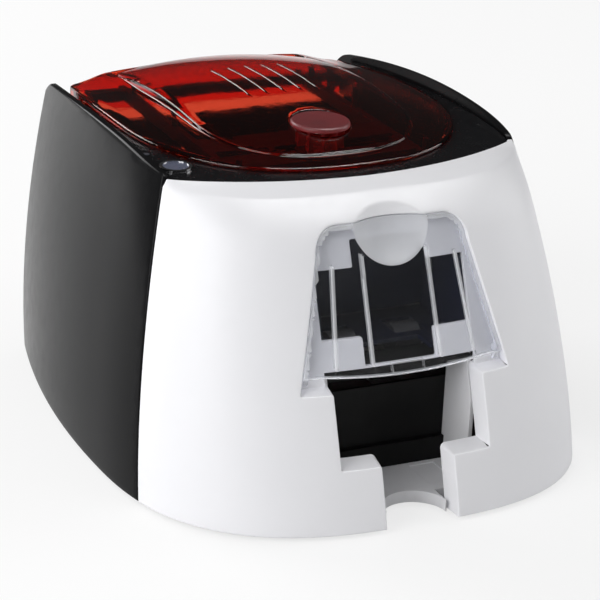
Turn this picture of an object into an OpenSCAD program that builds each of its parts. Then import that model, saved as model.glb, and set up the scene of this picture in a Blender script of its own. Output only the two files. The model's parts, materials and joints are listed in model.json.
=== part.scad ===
// ID card printer with a hinged see-through lid, a clear feeder cover and a front output bay.
// +X is right seen from the front, the front faces -Y, +Z is up.
// The origin is on the table, under the middle of the casing.

/* [Body] */
// Greatest width of the casing, low on its sides
body_w = 283; // [275:1:290]
// Depth from the lower front edge to the tips of the side panels
body_d = 322; // [315:1:330]
// Height of the rubber feet under the casing
foot_h = 2.5; // [2:0.1:3]
// Rise from the lower edge of the casing to its deck
deck_rise = 174; // [172:1:176]
// Lean of each side wall from bottom to top
side_lean = 26.7; // [24:0.1:28]
// Lean of the front face from bottom to top
front_lean = 65; // [62:0.5:66]
// Wall of the casing parts
wall = 3; // [2.5:0.1:3.5]

/* [Lid] */
// Half width of the lid
lid_half_w = 99; // [96:0.5:100]
// Height of the crown of the lid above the table
crown_z = 192.5; // [191:0.5:194]
// Half width of the raised window in the lid
window_half_w = 65; // [62:0.5:67]
// Wall of the lid
lid_wall = 2.5; // [2:0.1:3]
// Radius of the latch button
latch_r = 17.2; // [16:0.1:18]

/* [Feeder and output bay] */
// Half width of the feeder cover at its lower edge
cover_half_low = 62; // [61:0.5:62.5]
// Half width of the feeder cover under its top corners
cover_half_high = 45.5; // [44:0.5:47]
// Half width of the card hopper, for a card 85.6 mm long
hopper_half_w = 44; // [43.5:0.1:45]
// Half width of the output bay at the front face
bay_half_w = 46.5; // [46:0.1:47]
// Half width of the finger slot under the bay
slot_half_w = 23; // [21:0.5:25]
// Height of the shoulders beside the finger slot
shoulder_z = 35.5; // [32:0.5:36]

/* [Print engine] */
// Module of the gear teeth
gear_module = 0.8; // [0.8:0.05:0.8]
// Radius of the roller shafts
shaft_r = 3; // [2.8:0.1:3.2]
// Radius of the platen roller
platen_r = 9; // [8.5:0.1:9]
// Height of the card path
path_z = 90; // [89.5:0.1:90]
// Distance of the engine plates from the middle
plate_x = 58; // [58:0.5:59]

/* [Hidden] */
$fn = 48;
eps = 0.01;

// ---- casing outline: level t is 0 at the lower edge and 1 at the deck ----
front_y = -body_d / 2;
belly_low_y = -23.5;
belly_shift = 42;
side_bow = 0.00081;
seam_low_y = -80.5;
seam_shift = 38.5;
seam_bow = 12;
rear_low_y = body_d / 2 - 11.5;
rear_shift = 11.5;
deck_z = foot_h + deck_rise;
crease_t = 0.977;
shoulder_set_back = 10.5;
seam_arc_r = 221;
seam_front_y = -71.6;

function level(z) = (z - foot_h) / deck_rise;
function height(t) = foot_h + t * deck_rise;
function mix(a, b, u) = a + (b - a) * u;
function half_w(t) = body_w / 2 - side_lean * pow(max(t, 0), 1.85);
function belly_y(t) = belly_low_y + belly_shift * t;
function nose_y(t) = front_y + front_lean * pow(max(t, 0), 1.12);
function squareness(t) = 2.75 + 0.45 * t;
function seam_y(t) = seam_low_y + seam_shift * t - seam_bow * t * (1 - t);
function rear_y(t) = rear_low_y + rear_shift * t;
function set_back(t) = shoulder_set_back * pow(max(0, (t - 0.84) / 0.137), 2);
function seam_angle(t) =
    asin(pow((belly_y(t) - seam_y(t)) / (belly_y(t) - nose_y(t)), squareness(t) / 2));
// Half width of the casing at level t and depth y, behind or ahead of the belly
function side_x(t, y) = y >= belly_y(t)
    ? half_w(t) - side_bow * pow(y - belly_y(t), 2)
    : let (n = squareness(t))
        half_w(t) * pow(1 - pow((belly_y(t) - y) / (belly_y(t) - nose_y(t)), n), 1 / n);
// Point of the front cover at level t, where u runs from -1 at the left seam to 1 at the right
function front_point(t, u, inset = 0) =
    let (angle = 90 - abs(u) * (90 - seam_angle(t)), power = 2 / squareness(t))
    [
        sign(u) * (half_w(t) - inset) * pow(cos(angle), power),
        belly_y(t) - (belly_y(t) - nose_y(t) - inset) * pow(sin(angle), power)
            + set_back(t) * (1 - pow(abs(u), 6)),
        height(t)
    ];
// Depth of the front face at half width x and height z
function face_y(x, z) =
    let (t = level(z), n = squareness(t), u = pow(1 - pow(abs(x) / half_w(t), n), 1 / n))
    belly_y(t) - (belly_y(t) - nose_y(t)) * u + set_back(t);
function wing_z(y) = deck_z + 6.3 - (y < 25 ? 0.001 : 0.0007) * pow(y - 25, 2);
function deck_top_z(y) = deck_z - 0.6 - 0.0004 * pow(max(y, 0), 2);
function seam_arc_y(x) = seam_front_y + seam_arc_r - sqrt(pow(seam_arc_r, 2) - x * x);

// ---- lid ----
lid_rear_y = 152.6;
lid_belly_y = 47.8;
lid_reach = 107;
lid_rear_taper = 9;
window_belly_y = 30;
window_reach = 75.5;
hinge_y = 143;
hinge_z = 156;
hinge_pin_r = 2.5;
hinge_pin_in = 80.5;
hinge_post_in = 94.2;
latch_y = -11.5;
latch_top_z = 189.5;
stem_r = 6;
latch_axle_y = -30;
latch_axle_z = 158;
ridge_pitch = 11;
ridge_front_y = 36.5;
ridge_rear_y = 93;

function ease(v) = let (c = min(1, max(0, v))) c * c * (3 - 2 * c);
function window_z(x, y) = crown_z - 0.0015 * x * x - (y < 55 ? 0.00105 : 0.0014) * pow(y - 55, 2);
// The shelf rises a little beside the rear of the window
function shelf_z(x, y) = crown_z - 7.2 - 0.00068 * x * x - 0.00078 * pow(y - 35, 2)
    + 3 * ease((y - 90) / 60) * ease((84 - abs(x)) / 20);
function rim_z(y) = mix(deck_top_z(y) + 0.5, 150, ease((y - 118) / 8));
// Closed outline of a shape with a rounded front, sides that draw in and a straight rear edge
front_steps = 28;
side_steps = 5;
corner_steps = 4;
rear_steps = 8;
function lobe(half, mid_y, reach, power, rear_half, end_y, corner) = concat(
    [for (i = [0 : front_steps])
        let (a = 180 * i / front_steps)
        [sign(cos(a)) * half * pow(abs(cos(a)), 2 / power), mid_y - reach * pow(sin(a), 2 / power)]],
    [for (i = [1 : side_steps])
        let (v = i / side_steps, y = mix(mid_y, end_y - corner, v))
        [-mix(half, rear_half, v * v), y]],
    [for (i = [1 : corner_steps])
        let (a = 90 * i / corner_steps)
        [-rear_half + corner * (1 - cos(a)), end_y - corner * (1 - sin(a))]],
    [for (i = [1 : rear_steps - 1])
        [mix(-rear_half + corner, rear_half - corner, i / rear_steps), end_y]],
    [for (i = [corner_steps : -1 : 1])
        let (a = 90 * i / corner_steps)
        [rear_half - corner * (1 - cos(a)), end_y - corner * (1 - sin(a))]],
    [for (i = [side_steps : -1 : 1])
        let (v = i / side_steps, y = mix(mid_y, end_y - corner, v))
        [mix(half, rear_half, v * v), y]]
);
function lid_outline(grow = 0) = lobe(lid_half_w + grow, lid_belly_y, lid_reach + grow, 2.3,
    lid_half_w - lid_rear_taper + grow, lid_rear_y + grow, 6);
function window_outline(grow = 0) = lobe(window_half_w + grow, window_belly_y, window_reach + grow, 2.5,
    window_half_w - 2 + grow, lid_rear_y - 1 + min(grow, 0.5), 3);

// ---- feeder and output bay ----
pocket_low_z = 76;
pocket_depth = 9;
cover_low_z = 84;
cover_top_z = 160;
cover_corner = 14;
cover_wall = 2.5;
cover_gap = 0.6;
cover_pivot_y = -122;
cover_pivot_z = 82;
cover_pin_r = 1.5;
cover_bend_r = 420;
cover_lean = 22.3;
cover_low_y = -133.4;
dish_z = 159;
dish_r = 22;
dish_depth = 5.5;
hopper_floor_z = path_z - 0.5;
hopper_back_y = -64;
ledge_top_z = 100;
bay_back_y = -98;
bay_floor_z = 9.5;
bay_top_z = 79;
notch_r = 19;
notch_y = -152;

// ---- print engine: [y, z] of each axis ----
platen_at = [18, path_z - platen_r];
feed_r = 8;
feed_at = [-38, path_z - feed_r + 0.05];
pick_r = 9;
pick_at = [-86, feed_at[1] - 0.05];
eject_r = 7;
platen_teeth = 32;
rear_idler_teeth = 38;
front_idler_teeth = 28;
eject_teeth = 36;
pinion_teeth = 12;
spool_teeth = 36;
spool_z = path_z + 32;
supply_at = [58, spool_z];
takeup_at = [-32, spool_z];
gear_x = -69;
gear_face = 6;
mesh_gap = 0.1;
function pitch_r(teeth) = gear_module * teeth / 2;
function aim(from, to) = atan2(to[1] - from[1], to[0] - from[0]);
function step_from(from, angle, length) = from + length * [cos(angle), sin(angle)];
function between(a, b, reach_a, reach_b, side) =
    let (d = norm(b - a), along = (d * d + reach_a * reach_a - reach_b * reach_b) / (2 * d),
        off = sqrt(max(0, reach_a * reach_a - along * along)), angle = aim(a, b))
    step_from(step_from(a, angle, along), angle + 90 * side, off);
function mesh_reach(a, b) = pitch_r(a) + pitch_r(b) + mesh_gap;
// Angle of a follower's first tooth so that its gap meets the leader's tooth
function mesh_phase(lead_phase, lead_teeth, teeth, angle) =
    angle + 180 - (180 - (angle - lead_phase) * lead_teeth) / teeth;
rear_idler_at = between(platen_at, feed_at, mesh_reach(platen_teeth, rear_idler_teeth),
    mesh_reach(platen_teeth, rear_idler_teeth), 1);
front_idler_at = between(feed_at, pick_at, mesh_reach(platen_teeth, front_idler_teeth),
    mesh_reach(platen_teeth, front_idler_teeth), 1);
motor_at = step_from(rear_idler_at, -90, mesh_reach(rear_idler_teeth, pinion_teeth));
eject_at = step_from(front_idler_at, -90, mesh_reach(front_idler_teeth, eject_teeth));
ribbon_motor_at = step_from(takeup_at, 205, mesh_reach(spool_teeth, pinion_teeth));
rear_idler_phase = mesh_phase(0, platen_teeth, rear_idler_teeth, aim(platen_at, rear_idler_at));
feed_phase = mesh_phase(rear_idler_phase, rear_idler_teeth, platen_teeth, aim(rear_idler_at, feed_at));
front_idler_phase = mesh_phase(feed_phase, platen_teeth, front_idler_teeth, aim(feed_at, front_idler_at));
pick_phase = mesh_phase(front_idler_phase, front_idler_teeth, platen_teeth, aim(front_idler_at, pick_at));
eject_phase = mesh_phase(front_idler_phase, front_idler_teeth, eject_teeth, aim(front_idler_at, eject_at));
motor_phase = mesh_phase(rear_idler_phase, rear_idler_teeth, pinion_teeth, aim(rear_idler_at, motor_at));
ribbon_phase = mesh_phase(0, spool_teeth, pinion_teeth, aim(takeup_at, ribbon_motor_at));
head_low_z = path_z + 1.6;
head_high_z = path_z + 13;
carrier_low_z = path_z + 20;
head_half_w = 44;

// ---- shared shapes ----
// Places a shape that was drawn along Z so that it runs along X from x, with its axis at [y, z]
module along_x(x, at) translate([x, at[0], at[1]]) rotate([90, 0, 90]) children();
module rod(x0, x1, at, r) along_x(x0, at) cylinder(h = x1 - x0, r = r);
module tube(x0, x1, at, r, bore) difference() {
    rod(x0, x1, at, r);
    rod(x0 - 1, x1 + 1, at, bore);
}
module block(low, high) translate(low) cube(high - low);
// Flat plate of thickness x1 - x0 whose outline is a list of [y, z] points
module plate_yz(x0, x1, outline) along_x(x0, [0, 0]) linear_extrude(x1 - x0) polygon(outline);
// Prism through the front face whose outline is a list of [x, z] points
module prism_y(y0, y1, outline)
    translate([0, y1, 0]) rotate([90, 0, 0]) linear_extrude(y1 - y0) polygon(outline);
module both_sides() {
    children();
    mirror([1, 0, 0]) children();
}
function quad(a, b, c, d) = [[a, b, c], [a, c, d]];
// Closed thin solid between two grids of points, front ones in rows from the bottom up and left to right
module sheet(front, back) {
    rows = len(front);
    cols = len(front[0]);
    half = rows * cols;
    function f(r, c) = r * cols + c;
    function b(r, c) = half + r * cols + c;
    polyhedron(
        concat([for (row = front) each row], [for (row = back) each row]),
        concat(
            [for (r = [0 : rows - 2]) for (c = [0 : cols - 2])
                each quad(f(r, c), f(r + 1, c), f(r + 1, c + 1), f(r, c + 1))],
            [for (r = [0 : rows - 2]) for (c = [0 : cols - 2])
                each quad(b(r, c), b(r, c + 1), b(r + 1, c + 1), b(r + 1, c))],
            [for (c = [0 : cols - 2]) each quad(f(0, c), f(0, c + 1), b(0, c + 1), b(0, c))],
            [for (c = [0 : cols - 2])
                each quad(f(rows - 1, c + 1), f(rows - 1, c), b(rows - 1, c), b(rows - 1, c + 1))],
            [for (r = [0 : rows - 2]) each quad(f(r + 1, 0), f(r, 0), b(r, 0), b(r + 1, 0))],
            [for (r = [0 : rows - 2])
                each quad(f(r, cols - 1), f(r + 1, cols - 1), b(r + 1, cols - 1), b(r, cols - 1))]
        ),
        convexity = 6
    );
}
// Closed solid skinned over rings of points, from a top pole to a bottom pole
module ring_solid(top, rings, bottom) {
    count = len(rings[0]);
    last = len(rings) - 1;
    function id(k, j) = 1 + k * count + j % count;
    end = 1 + (last + 1) * count;
    polyhedron(
        concat([top], [for (ring = rings) each ring], [bottom]),
        concat(
            [for (j = [0 : count - 1]) [0, id(0, j), id(0, j + 1)]],
            [for (k = [0 : last - 1]) for (j = [0 : count - 1])
                each quad(id(k, j + 1), id(k, j), id(k + 1, j), id(k + 1, j + 1))],
            [for (j = [0 : count - 1]) [id(last, j + 1), id(last, j), end]]
        ),
        convexity = 8
    );
}
tooth_shape = [[-0.27, -1.1], [-0.12, 0.8], [0.12, 0.8], [0.27, -1.1]];
module gear(teeth, face, phase, bore) difference() {
    linear_extrude(face) polygon([
        for (i = [0 : teeth - 1]) for (p = tooth_shape)
            let (a = phase + (i + p[0]) * 360 / teeth, r = pitch_r(teeth) + p[1] * gear_module)
            r * [cos(a), sin(a)]
    ]);
    translate([0, 0, -1]) cylinder(h = face + 2, r = bore);
}
module gear_at(x, at, teeth, phase, bore = shaft_r + 0.02)
    along_x(x, at) gear(teeth, gear_face, phase, bore);
module spring_rings(r, wire, low, high, turns) for (i = [0 : turns - 1])
    translate([0, 0, mix(low + wire, high - wire, i / (turns - 1))])
        rotate_extrude() translate([r, 0]) circle(r = wire, $fn = 16);

// ---- casing ----
// The tray keeps behind the leaning front face
base_toe = 2;
function plan(t, inset, rear) = concat(
    [for (i = [0 : 8]) let (y = mix(rear, belly_y(t), i / 8)) [side_x(t, y) - inset, y]],
    [for (i = [1 : 17]) let (a = 180 * i / 18, power = 2 / squareness(t))
        [
            sign(cos(a)) * (half_w(t) - inset) * pow(abs(cos(a)), power),
            belly_y(t) - (belly_y(t) - nose_y(t) - inset - base_toe) * pow(sin(a), power)
        ]],
    [for (i = [8 : -1 : 0]) let (y = mix(rear, belly_y(t), i / 8)) [inset - side_x(t, y), y]]
);
base_inset = 4.2;
base_rear_y = 145.6;
base_floor_z = foot_h + 3;
module base_tray() color("#26272a") difference() {
    union() {
        translate([0, 0, foot_h]) linear_extrude(3) polygon(plan(0, base_inset, base_rear_y));
        translate([0, 0, base_floor_z]) linear_extrude(7) difference() {
            polygon(plan(0, base_inset, base_rear_y));
            polygon(plan(0, base_inset + 2.2, base_rear_y - 2.2));
        }
        for (p = board_posts) translate([p[0], p[1], base_floor_z])
            cylinder(h = board_z - base_floor_z, r = 3.5);
    }
    block([-46, -170, 0], [46, bay_back_y + 2, 20]);
    for (x = [-78, 78]) for (y = [-24, 10, 44]) translate([x, y, 0]) block([-16, -3, 0], [16, 3, 10]);
}
foot_at = [[-92, -88], [92, -88], [-88, 118], [88, 118]];
module rubber_feet() color("#151515") for (p = foot_at) translate([p[0], p[1], 0]) {
    cylinder(h = foot_h, r1 = 8, r2 = 9);
}
panel_wall = wall + 0.2;
panel_cols = 16;
panel_levels = [0, 0.1, 0.2, 0.3, 0.4, 0.5, 0.6, 0.7, 0.8, 0.9, 0.985, 1];
panel_edge = 1.2;
panel_gap = 0.5;
module side_panel() {
    function tip_drop(s) = 5 * pow(max(0, (0.06 - s) / 0.06), 2);
    // Point of the panel: s runs from the rear to the front seam, v from the bottom to the top
    function skin(s, v, inner) =
        let (
            back = 0.47 * inner,
            y_low = mix(rear_y(0), seam_y(0) + panel_gap + back, s),
            y_top = mix(body_d / 2, seam_y(1) + panel_gap + back, s),
            z_top = wing_z(y_top) - tip_drop(s) - (inner == 0 || v < 1 ? 0 : panel_edge / 2),
            z = mix(foot_h, z_top, v),
            t = level(z),
            y = mix(mix(y_low, y_top, v), mix(rear_y(t), seam_y(t) + panel_gap + back, s), s)
        )
        [-(side_x(t, y) - inner), y, z];
    function face(inner, inner_top) = [for (v = panel_levels)
        [for (i = [0 : panel_cols]) skin(i / panel_cols, v, v == 1 ? inner_top : inner)]];
    sheet(face(0, panel_edge), face(panel_wall, panel_wall - 0.8));
}
module side_panel_left() color("#2b2d30") side_panel();
module side_panel_right() color("#2b2d30") mirror([1, 0, 0]) side_panel();

function pocket_half(z) = mix(cover_half_low, cover_half_high, (z - cover_low_z) / 66);
function pocket(low, grow) =
    let (
        turn_z = cover_top_z - cover_corner,
        mid = pocket_half(turn_z) - cover_corner,
        r = cover_corner + grow
    )
    concat(
        [[-pocket_half(low) - grow, low], [pocket_half(low) + grow, low]],
        [for (a = [0 : 15 : 90]) [mid + r * cos(a), turn_z + r * sin(a)]],
        [for (a = [90 : 15 : 180]) [-mid + r * cos(a), turn_z + r * sin(a)]]
    );
// Slab that follows the front face, from depth d0 to depth d1 behind it
module face_slab(d0, d1, half, z0, z1) {
    cols = 14;
    rows = 8;
    function grid(d) = [for (j = [0 : rows]) [for (i = [0 : cols])
        let (x = mix(-half, half, i / cols), z = mix(z0, z1, j / rows)) [x, face_y(x, z) + d, z]]];
    sheet(grid(d0), grid(d1));
}
module corners(points) hull() for (p = points) translate(p) cube(eps, center = true);
// Flared T-shaped mouth of the output bay, grown outwards on every side
bay_flare = 3;
bay_mouth_depth = 12.5;
module bay_mouth(grow) {
    corners([for (s = [-1, 1]) for (z = [shoulder_z, cover_low_z]) for (d = [0, 1])
        let (far = d * (bay_mouth_depth + 8) - 4)
        [s * (bay_half_w + 0.2 - bay_flare * d + grow), face_y(40, z) + far,
            z + (z == shoulder_z ? 4.5 * d - grow : grow)]]);
    corners([for (s = [-1, 1]) for (z = [-1, shoulder_z + 5]) for (d = [0, 1])
        let (far = d * (bay_mouth_depth + 8) - 4)
        [s * (slot_half_w - 3.4 * d + grow), face_y(20, max(z, 3)) + far, z]]);
}
cover_cols = 40;
cover_levels = [0, 0.1, 0.2, 0.3, 0.4, 0.5, 0.6, 0.7, 0.78, 0.84, 0.88, 0.92, 0.95, crease_t];
crescent_steps = [0.35, 0.7, 1];
module cover_skin() {
    function crescent(u, v, inset) =
        let (low = front_point(crease_t, u, inset), x = u * (side_x(1, seam_y(1)) - inset))
        [mix(low[0], x, v), mix(low[1], seam_arc_y(x) - 0.3, v), mix(low[2], deck_z, v) - inset];
    function rows(inset) = concat(
        [for (t = cover_levels) [for (i = [0 : cover_cols])
            front_point(t, 2 * i / cover_cols - 1, inset) - [0, 0, t == crease_t ? inset * 0.8 : 0]]],
        [for (v = crescent_steps) [for (i = [0 : cover_cols]) crescent(2 * i / cover_cols - 1, v, inset)]]
    );
    sheet(rows(0), rows(wall));
}
dish_ball_r = (dish_r * dish_r + dish_depth * dish_depth) / (2 * dish_depth);
dish_centre = [0, face_y(0, dish_z) - cos(cover_lean) * (dish_ball_r - dish_depth),
    dish_z + sin(cover_lean) * (dish_ball_r - dish_depth)];
feeder_mouth = [[-22, cover_low_z + 1], [22, cover_low_z + 1], [22, ledge_top_z], [46, ledge_top_z],
    [46, 135.7], [23, 135.7], [23, 150], [-23, 150], [-23, 135.7], [-46, 135.7], [-46, ledge_top_z],
    [-22, ledge_top_z]];
module front_cover() color("#eeeef0") difference() {
    union() {
        cover_skin();
        intersection() {
            prism_y(-150, -60, pocket(pocket_low_z - 2.5, cover_gap + 2.5));
            face_slab(1, pocket_depth + 2.5, 70, 70, 168);
        }
        intersection() {
            bay_mouth(2.5);
            face_slab(1, bay_mouth_depth, 60, foot_h, 90);
        }
        intersection() {
            translate(dish_centre) sphere(r = dish_ball_r + 2.5, $fn = 72);
            face_slab(1, 12, 40, cover_top_z + cover_gap, 172);
        }
        both_sides() for (z = [20, 60, 100, 140]) cover_boss(z);
    }
    intersection() {
        prism_y(-150, -60, pocket(pocket_low_z, cover_gap));
        face_slab(-6, pocket_depth, 70, 70, 168);
    }
    prism_y(-135, -90, feeder_mouth);
    bay_mouth(0);
    translate(dish_centre) sphere(r = dish_ball_r, $fn = 72);
    both_sides() {
        rod(cover_half_low - 4, 66, [cover_pivot_y, cover_pivot_z], cover_pin_r + 0.02);
        rod(cover_half_low - 4.6, cover_half_low - 0.8, [cover_pivot_y, cover_pivot_z], 4.6);
    }
}
// Boss that takes a case screw behind the seam of the front cover
module cover_boss(z) hull() {
    t = level(z + 5);
    x = side_x(t, seam_y(t) - 12) - 4.2;
    translate([x, seam_y(t) - 11, z]) cube([5, 1, 9], center = true);
    translate([x, seam_y(t) - 3, z]) cube([4, 1, 7], center = true);
}
deck_wall = 3;
well_inset = 4;
module deck_ring(outline_in, z0, z1) translate([0, 0, z0]) linear_extrude(z1 - z0) polygon(outline_in);
function deck_side_x(y) = side_x(1, y) - panel_wall - 0.6;
deck_front_y = seam_y(1) + 0.8;
function deck_plan() = concat(
    [for (i = [0 : 10]) let (y = mix(150, deck_front_y, i / 10)) [deck_side_x(y), y]],
    [for (i = [1 : 19]) let (x = (1 - i / 10) * deck_side_x(deck_front_y)) [x, seam_arc_y(x) + 0.2]],
    [for (i = [10 : -1 : 0]) let (y = mix(150, deck_front_y, i / 10)) [-deck_side_x(y), y]]
);
function deck_profile(thick) = concat(
    [for (i = [0 : 12]) let (y = mix(-90, 151, i / 12)) [y, deck_top_z(y)]],
    [for (i = [12 : -1 : 0]) let (y = mix(-90, 151, i / 12)) [y, deck_top_z(y) - thick]]
);
button_at = [-95.5, -25.5];
button_r = 7.4;
lens_at = [[-104.5, 14.5], [-102.5, 0.5]];
lens_r = 2;
deck_rear_cut_y = 104;
module top_deck() color("#1c1d20") difference() {
    union() {
        intersection() {
            plate_yz(-120, 120, deck_profile(deck_wall));
            deck_ring(deck_plan(), 150, 185);
        }
        intersection() {
            plate_yz(-120, 120, deck_profile(9));
            difference() {
                deck_ring(lid_outline(-well_inset + 1.8), 155, 185);
                deck_ring(lid_outline(-well_inset), 150, 190);
                block([-120, deck_rear_cut_y, 150], [120, 170, 190]);
            }
        }
        both_sides()
            block([hinge_post_in, 134, hinge_z - 8], [hinge_post_in + 2.6, 149, deck_top_z(149) - 0.2]);
        translate([button_at[0], button_at[1], deck_z - 9]) cylinder(h = 7, r = button_r + 4);
    }
    deck_ring(lid_outline(-well_inset), 140, 190);
    intersection() {
        deck_ring(lid_outline(0.9), 140, 190);
        block([-120, deck_rear_cut_y, 130], [120, 170, 190]);
    }
    block([-hinge_post_in, 126, 160], [hinge_post_in, 152, 190]);
    translate([button_at[0], button_at[1], 150]) cylinder(h = 40, r = button_r + 1.85);
    for (p = lens_at) translate([p[0], p[1], 150]) cylinder(h = 40, r = lens_r + 0.02);
    rod(-100, 100, [hinge_y, hinge_z], hinge_pin_r + 0.02);
}
rear_panel_y = 146;
rear_panel_top = 144;
usb_at = [62, 19];
power_at = [84, 19];
function rear_half_w(z) = side_x(level(z), rear_panel_y + wall) - panel_wall - 0.3;
module rear_panel() color("#222326") difference() {
    translate([0, rear_panel_y + wall, 0]) rotate([90, 0, 0]) linear_extrude(wall) polygon(concat(
        [for (i = [0 : 8]) let (z = mix(foot_h, rear_panel_top, i / 8))
            [rear_half_w(z), z]],
        [for (i = [8 : -1 : 0]) let (z = mix(foot_h, rear_panel_top, i / 8))
            [-rear_half_w(z), z]]
    ));
    block([usb_at[0] - 6.4, 140, usb_at[1] - 5.8], [usb_at[0] + 6.4, 155, usb_at[1] + 5.8]);
    translate([power_at[0], 155, power_at[1]]) rotate([90, 0, 0]) cylinder(h = 20, r = 5);
    for (i = [-5 : 5]) block([i * 7 - 1.6, 140, 86], [i * 7 + 1.6, 155, 122]);
    block([-92, 140, 40], [-85, 155, 43]);
}
screw_at = [[-96, 24], [96, 24], [-84, 130], [84, 130]];
module case_screws() color("silver") for (p = screw_at)
    translate([p[0], rear_panel_y + wall, p[1]]) rotate([-90, 0, 0]) difference() {
        cylinder(h = 1.8, r1 = 3.6, r2 = 2.8);
        translate([0, 0, 0.8]) block([-2, -0.4, 0], [2, 0.4, 2]);
        translate([0, 0, 0.8]) block([-0.4, -2, 0], [0.4, 2, 2]);
    }

// ---- feeder and output bay ----
hopper_wall = 2.5;
module feeder_hopper() color("#1d2026") difference() {
    union() {
        block([-hopper_half_w - hopper_wall, -117, hopper_floor_z - hopper_wall],
            [hopper_half_w + hopper_wall, hopper_back_y + hopper_wall, 151.2]);
        block([-plate_x, -76, hopper_floor_z - hopper_wall], [plate_x, -66, hopper_floor_z]);
    }
    block([-hopper_half_w, -118, hopper_floor_z], [hopper_half_w, hopper_back_y, 149.5]);
    plate_yz(-60, 60, concat([[-160, 80]], [for (z = [80 : 8 : 160])
        [face_y(hopper_half_w + hopper_wall, z) + pocket_depth + 3, z]], [[-160, 160]]));
    block([-hopper_half_w, -70, hopper_floor_z], [hopper_half_w, -55, hopper_floor_z + 1.6]);
    for (s = [-1, 1]) block([s * 20 - 9.5, pick_at[0] - 10, 80], [s * 20 + 9.5, pick_at[0] + 10, 100]);
    block([-21.5, -118, hopper_floor_z - 5], [21.5, -102, hopper_floor_z + 5]);
}
module bay_side_walls() color("#dcdde0") both_sides() difference() {
    block([43.6, -128, bay_floor_z], [46, bay_back_y, bay_top_z]);
    plate_yz(40, 50, [[-150, 0], [face_y(45, 5) + 13, 5], [face_y(45, 82) + 13, 82], [-150, 90]]);
}
module output_tray() color("#8b8d92") difference() {
    union() {
        block([-43.5, -137, foot_h], [43.5, bay_back_y, bay_floor_z]);
        block([-19, -152, foot_h], [19, -136, bay_floor_z]);
    }
    translate([0, notch_y, -1]) cylinder(h = 20, r = notch_r, $fn = 96);
    for (x = [-1, 1]) block([x * 28 - 8, -130, bay_floor_z - 0.8], [x * 28 + 8, -104, bay_floor_z + 1]);
}
module output_bay() color("#101113") difference() {
    union() {
        block([-46, bay_back_y, bay_floor_z - 4], [46, bay_back_y + 2, bay_top_z]);
        block([-43.4, bay_back_y - 3, bay_floor_z + 0.1], [43.4, bay_back_y + 1, bay_floor_z + 14]);
        block([-46, -119.4, bay_top_z], [46, bay_back_y + 2, bay_top_z + 2]);
    }
    block([-43.4, bay_back_y - 1, 60], [43.4, bay_back_y + 5, 66]);
}
module feeder_hinge_pins() color("silver") both_sides()
    rod(cover_half_low - 4.2, cover_half_low + 3, [cover_pivot_y, cover_pivot_z], cover_pin_r);
// Long tube that the feeder cover is cut from, bent about an axis that leans with the front face
module cover_tube(depth0, depth1) translate([0, cover_low_y, cover_low_z]) rotate([-cover_lean, 0, 0])
    translate([0, cover_bend_r, -12]) difference() {
        cylinder(h = 110, r = cover_bend_r - depth0, $fn = 180);
        translate([0, 0, -1]) cylinder(h = 112, r = cover_bend_r - depth1, $fn = 180);
    }
ribs_at = [[37, 42.5, 138], [20.4, 20.2, 138]];
module feeder_cover() color("#e8ecf2", 0.5) difference() {
    union() {
        intersection() {
            cover_tube(0, cover_wall);
            prism_y(-150, -80, pocket(cover_low_z, 0));
        }
        intersection() {
            cover_tube(0, 8);
            prism_y(-150, -80, pocket(cover_low_z, 0));
            translate(dish_centre) sphere(r = dish_ball_r + 1.8, $fn = 90);
        }
        intersection() {
            cover_tube(1, 5.5);
            prism_y(-150, -80, pocket(cover_low_z, 0));
            difference() {
                block([-70, -150, 80], [70, -80, 170]);
                prism_y(-160, -70, pocket(cover_low_z - 9, -2));
            }
        }
        for (r = ribs_at) both_sides() intersection() {
            cover_tube(-0.8, 3.4);
            prism_y(-150, -80, [[r[1] - 1, 88], [r[1] + 1, 88], [r[0] + 1, r[2]], [r[0] - 1, r[2]]]);
        }
        both_sides() {
            rod(cover_half_low - 4, cover_half_low - 1.4, [cover_pivot_y, cover_pivot_z], 4);
            plate_yz(cover_half_low - 4, cover_half_low - 1.4,
                [[-126, 80.5], [-127.4, 86], [-125.4, 90.5], [-119, 84.5]]);
        }
    }
    translate(dish_centre) sphere(r = dish_ball_r, $fn = 90);
    both_sides() rod(50, 70, [cover_pivot_y, cover_pivot_z], cover_pin_r + 0.05);
    block([-10, -140, 80], [-9.4, -120, 88]);
    block([9.4, -140, 80], [10, -120, 88]);
}

// ---- print engine ----
plate_wall = 2;
bush_r = 5;
pinch_r = 6;
pinch_shaft_r = 2.5;
pinch_at = [feed_at[0], path_z + 0.8 + pinch_r];
plate_outline = [
    [-95, base_floor_z], [88, base_floor_z], [88, 112], [74, 132], [-12, 132], [-16, 147], [-28, 147],
    [-28.5, 132], [-62, 132], [-66, path_z + 14], [-95, path_z + 14]
];
tie_rods = [[-80, 30], [70, 30], [80, 102], [-58, 126]];
shafts_at = [platen_at, feed_at, pick_at, eject_at];
function notch(at) = [[at[0] - shaft_r - 0.3, at[1] - 2], [at[0] + shaft_r + 0.3, at[1] - 2],
    [at[0] + shaft_r + 0.3, 150], [at[0] - shaft_r - 0.3, 150]];
module engine_plate() difference() {
    plate_yz(plate_x, plate_x + plate_wall, plate_outline);
    for (at = shafts_at) rod(plate_x - 1, plate_x + 5, at, bush_r + 0.02);
    rod(plate_x - 1, plate_x + 5, pinch_at, pinch_shaft_r + 0.05);
    for (at = [supply_at, takeup_at]) {
        rod(plate_x - 1, plate_x + 5, at, shaft_r + 0.3);
        plate_yz(plate_x - 1, plate_x + 5, notch(at));
    }
}
module engine_plate_left() color("#8e9196") mirror([1, 0, 0]) difference() {
    engine_plate();
    rod(plate_x - 1, plate_x + 5, motor_at, 4);
    for (at = [rear_idler_at, front_idler_at]) rod(plate_x - 1, plate_x + 5, at, 2.02);
}
module engine_plate_right() color("#8e9196") engine_plate();
module engine_tie_rods() color("#a4a7ac") for (at = tie_rods) rod(-plate_x, plate_x, at, 3);
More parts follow.
